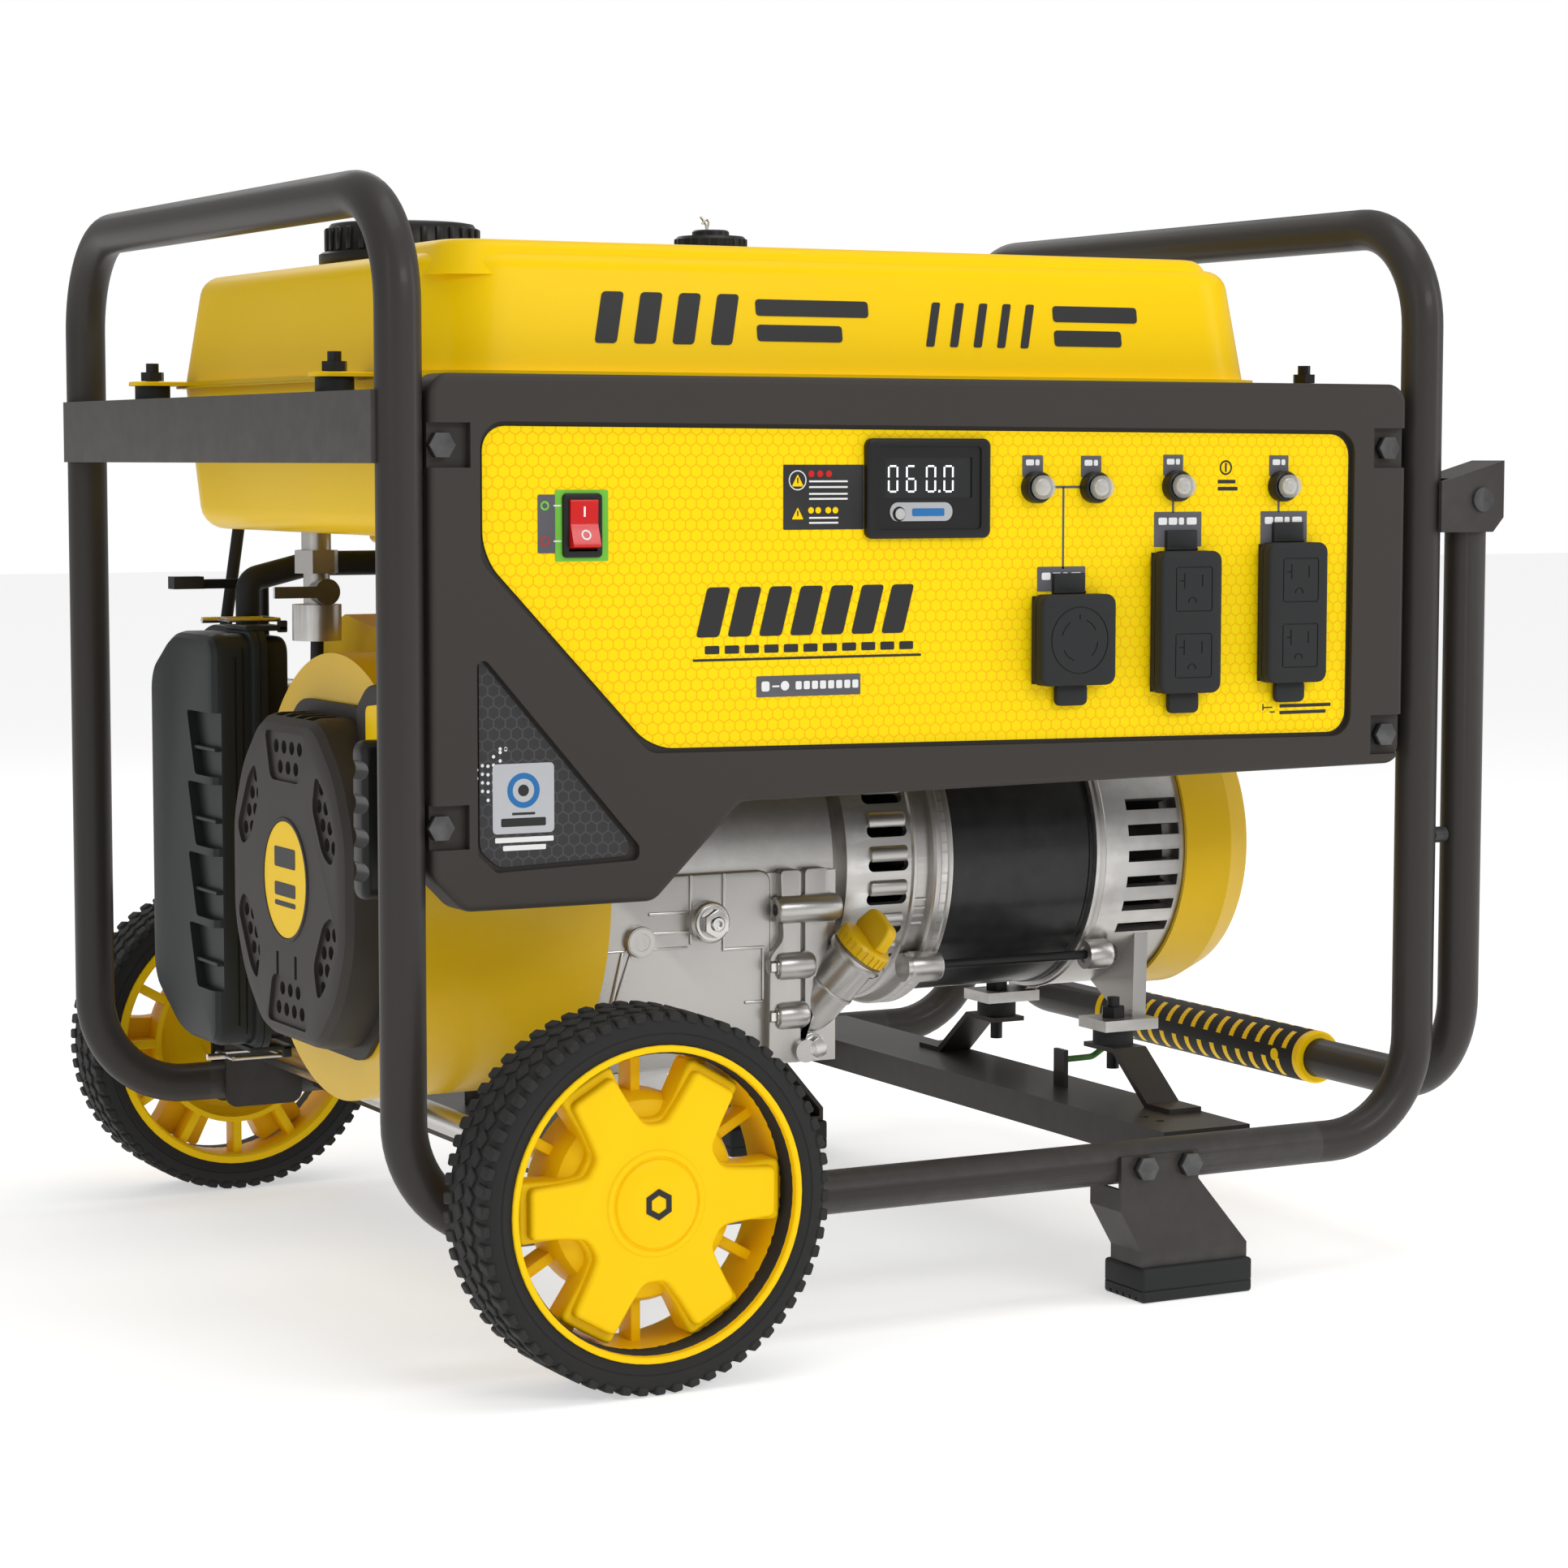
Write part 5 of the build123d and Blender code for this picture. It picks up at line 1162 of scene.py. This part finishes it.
# crankcase castings on its front face
# seams give left, right, low and high
caseSizes = {
    "front": -150.0, "nut": (-96, 227.5), "boss": (-140.5, 218), "drain": (-24, 147),
    "block": rectangle(-168, -52, 140, 256),
    "flange": [(-56, 143), (-40, 139), (-34, 139), (-34, 256), (-48, 256), (-46, 214), (-55, 204)],
    "cover": [(-36, 150), (-22, 166), (-14, 196), (-14, 256), (-30, 256), (-30, 150)],
    "seams": [(-107, -105, 214, 256), (-85, -83, 210, 256), (-85, -56, 208.8, 210.8),
              (-166, -108, 212, 213.4),
              (-134, -104, 221.0, 223.0), (-134, -104, 232.6, 234.6), (-70, -57, 176, 178),
              (-58.5, -56.5, 178, 210)],
    "lugs": [(232, -8), (198, -26), (168, -30)],
}


def makeCasting(sizes):
    y = sizes["front"]
    shapes = [softenEnd(prism(sizes["block"], y - 1.6, y + 6, "y", 7, 4), (0, -1, 0), 1.4, 3),
              softenEnd(prism(sizes["flange"], y - 6.5, y + 6, "y", 4, 4), (0, -1, 0), 1.6, 3),
              softenEnd(prism(sizes["cover"], y - 4, y + 6, "y", 5, 4), (0, -1, 0), 1.6, 3)]
    for x0, x1, z0, z1 in sizes["seams"]:
        shapes.append(slab(x0, x1, y - 2.7, y, z0, z1, soft=0.8))
    shapes.append(turned(slab(-152, -149.6, y - 3.4, y, 176, 212, soft=1.0), (-150, y, 212), "y", 14))
    shapes.append(turned(slab(-146, -144, y - 3.0, y, 176, 212, soft=0.9), (-144, y, 212), "y", 20))
    nutX, nutZ = sizes["nut"]
    shapes.append(lathe([(12.6, y), (12.6, y - 8.5), (11.4, y - 9.8), (0, y - 9.8), (0, y)],
                        (nutX, 0, nutZ), "y", steps=40))
    bossX, bossZ = sizes["boss"]
    shapes.append(lathe([(9.4, y), (9.4, y - 6), (8.2, y - 7.2), (5.2, y - 7.2), (4.6, y - 6.2),
                         (4.6, y - 2), (0, y - 2), (0, y)], (bossX, 0, bossZ), "y", steps=40))
    for z, reach in sizes["lugs"]:
        lug = lathe([(7.8, -50), (8.6, -47), (8.6, reach - 3), (7.0, reach), (0, reach), (0, -46),
                     (3.4, -46), (3.6, -50.6), (7.0, -50.6)], (0, y - 4.5, z), "x", steps=32)
        shapes.append(lug)
    keepPiece("caseCasting", gather(*shapes), "chassis", "castAluminium", sharp=30)
    bolts = [hexHead((nutX, y - 9.6, nutZ), "y", 15, 8),
             lathe([(4.6, y - 15), (4.6, y - 18.5), (3.8, y - 19.2), (2.4, y - 19.2), (2.2, y - 17),
                    (0, y - 17), (0, y - 15)], (nutX, 0, nutZ), "y", steps=28),
             hexHead((sizes["drain"][0], y - 1, sizes["drain"][1]), "y", 12, 9)]
    for z, reach in sizes["lugs"][1:]:
        bolts.append(hexHead((-50.4, y - 4.5, z), "x", 8.5, 5))
    keepPiece("caseBolts", gather(*bolts), "chassis", "machinedSteel")
    foot, way = Vector((-31, -128, 150)), Vector((34.5, -31.5, 54))
    collar = gather(*[rod(foot + way * near, foot + way * far, radius, soft=soft)
                      for near, far, radius, soft in ((0.93, 0.995, 18.2, 1.0), (0.60, 0.64, 17.0, 0.6))])
    keepPiece("neckCollars", collar, "chassis", "castAluminium")


makeCasting(caseSizes)

# alternator trim
trimSizes = {"y": -50.0, "z": 254.0, "boltCircle": 103, "boltAngles": (40, 140, 220, 320)}


def makeAlternator(sizes):
    centre = (0, sizes["y"], sizes["z"])
    axisPoint = Vector(centre)
    hoods = []
    for step in range(9):
        hood = rod((21, 0, 93.2), (47, 0, 93.2), 4.9, soft=1.6, sides=24, steps=3)
        bmesh.ops.scale(hood, verts=hood.verts, vec=(1, 1, 0.55), space=Matrix.Translation((0, 0, -93.2)))
        hoods.append(turned(hood, (0, 0, 0), "x", 38 + step * 13 - 4.2))
    shapes = [moved(gather(*hoods), axisPoint)]
    shapes.append(lathe([(93.2, 50.5), (94.6, 51.5), (94.6, 53.5), (93.2, 54.5), (92, 54.5), (92, 50.5)],
                        centre, "x", steps=96))
    shapes.append(lathe([(97.5, 63.6), (98.8, 65), (98.8, 68), (98.0, 69), (98.0, 73), (98.8, 74),
                         (98.8, 76), (97.5, 77), (96, 77), (96, 63.6)], centre, "x", steps=96))
    for step in range(4):
        rib = slab(52.5, 62, -0.9, 0.9, 92.4, 94.2, soft=0.4, steps=1)
        shapes.append(moved(turned(rib, (0, 0, 0), "x", 104 + step * 3.4), axisPoint))
    shapes.append(lathe([(94.8, 186), (96, 187.5), (96, 190), (94.8, 191.5), (93, 191.5), (93, 186)],
                        centre, "x", steps=96))
    for angle in sizes["boltAngles"]:
        y = sizes["y"] + sizes["boltCircle"] * math.cos(math.radians(angle))
        z = sizes["z"] + sizes["boltCircle"] * math.sin(math.radians(angle))
        shapes.append(lathe([(9.2, 55), (9.8, 57), (9.8, 75), (8.6, 77.4), (5.2, 77.4), (5.2, 55)],
                            (0, y, z), "x", steps=28))
        shapes.append(lathe([(9.2, 185), (9.8, 187), (9.8, 200), (8.8, 202.4), (5.2, 202.4), (5.2, 185)],
                            (0, y, z), "x", steps=28))
    keepPiece("alternatorTrim", gather(*shapes), "chassis", "castAluminium", sharp=34)
    bands = [lathe([(91.4, x0), (92.3, x0 + 0.6), (92.3, x0 + 2.6), (91.4, x0 + 3.2), (90, x0 + 3.2),
                    (90, x0)], centre, "x", steps=96) for x0 in (77.6, 180)]
    keepPiece("statorBands", gather(*bands), "chassis", "statorBlack")


makeAlternator(trimSizes)
print("engine and alternator details made")

# oil cap
oilCapSizes = {"foot": (-31, -128, 150), "end": (3.5, -159.5, 204)}


def makeOilCap(sizes):
    foot, end = Vector(sizes["foot"]), Vector(sizes["end"])
    along = (end - foot).normalized()
    disc = lathe([(16.6, 0.6), (18.0, 1.6), (18.0, 7.4), (16.4, 9.6), (12, 11.0), (0, 11.4), (0, 0.6)],
                 (0, 0, 0), "z", steps=48)
    notches = ringOf(slab(17.2, 18.6, -0.9, 0.9, 1.0, 8.0), 24, "z")
    disc = carve(disc, notches)
    wing = prism([(-15.8, 9.6), (15.8, 9.6), (12.4, 26.8), (-12.4, 26.8)], -4.4, 4.4, "y", 5, 5)
    softenEnd(softenEnd(wing, (0, -1, 0), 1.8, 3), (0, 1, 0), 1.8, 3)
    plug = gather(rod((0, 0, -14), (0, 0, 1), 10.4, sides=36), rod((0, 0, -50), (0, 0, -14), 2.4, sides=16))
    shape = gather(disc, wing, plug)
    side = Vector((0, along.z, -along.y)).normalized()
    frameTurn = Matrix((side, along.cross(side), along)).transposed()
    bmesh.ops.transform(shape, matrix=Matrix.Translation(end) @ frameTurn.to_4x4(), verts=shape.verts)
    keepPiece("oilCapDetail", shape, "oil_cap", "shroudEnamel", ["dipstick"], sharp=30)


makeOilCap(oilCapSizes)

# carrying handle grip: black sleeve, slots showing the yellow core, yellow ends
handleGrip = {"x": 373.0, "z": 107.0, "half": 124.0, "outer": 17.4, "core": 16.4, "slots": 14, "rows": 5}


def makeGrip(sizes):
    centre = (sizes["x"], 0, sizes["z"])
    half, outer, core = sizes["half"], sizes["outer"], sizes["core"]
    sleeve = lathe([(12.9, -half + 7), (outer - 0.6, -half + 7), (outer, -half + 8), (outer, half - 8),
                    (outer - 0.6, half - 7), (12.9, half - 7)], centre, "y", steps=48)
    slots = []
    for row in range(sizes["rows"]):
        for step in range(sizes["slots"]):
            place = -half + 17 + (2 * half - 34) * (step + (0.5 if row % 2 else 0.0) * 0.9) / sizes["slots"]
            arc = lathe([(core, place - 3.2), (17.3, place - 3.2), (17.48, place - 2.0),
                         (17.48, place + 2.0), (17.3, place + 3.2), (core, place + 3.2)],
                        centre, "y", steps=6, turn=46, start=row * 72)
            slots.append(arc)
    ends = [lathe([(12.9, side * (half - 7.2)), (17.0, side * (half - 7.2)), (17.5, side * (half - 6)),
                   (17.5, side * (half - 1.6)), (16.2, side * half), (12.9, side * half)],
                  centre, "y", steps=48) for side in (-1, 1)]
    catch = rod((centre[0] - 17.3, -half + 26, centre[2]), (centre[0] - 18.0, -half + 26, centre[2]), 4.0,
                sides=24)
    keepPiece("gripSleeve", gather((sleeve, 0), (gather(*slots, *ends), 1), (catch, 1)), "handle",
              ["blackRubber", "wheelPlastic"], ["handle_grip"], sharp=34)


makeGrip(handleGrip)

# feet with ridged soles
footSizes = {"x": (126, 205), "y": (246, 289), "top": 21.0, "grooves": 5}


def makeFeet(sizes):
    x0, x1 = sizes["x"]
    feet = []
    for side in (-1, 1):
        y0, y1 = sorted((side * sizes["y"][0], side * sizes["y"][1]))
        foot = slab(x0, x1, y0, y1, 0, sizes["top"], soft=2.2, steps=3)
        cuts = [slab(x0 - 2, x1 + 2, y0 + 6.6 + 6.9 * step, y0 + 8.4 + 6.9 * step, -2, 3.2)
                for step in range(sizes["grooves"])]
        cuts.append(carve(slab(x0 - 3, x1 + 3, y0 - 3, y1 + 3, 7.0, 8.0),
                          slab(x0 + 0.8, x1 - 0.8, y0 + 0.8, y1 - 0.8, 5, 10)))
        feet.append(carve(foot, gather(*cuts)))
    keepPiece("feetDetail", gather(*feet), "chassis", "blackRubber", ["leg_feet"])


makeFeet(footSizes)
print("oil cap, grip and feet made")
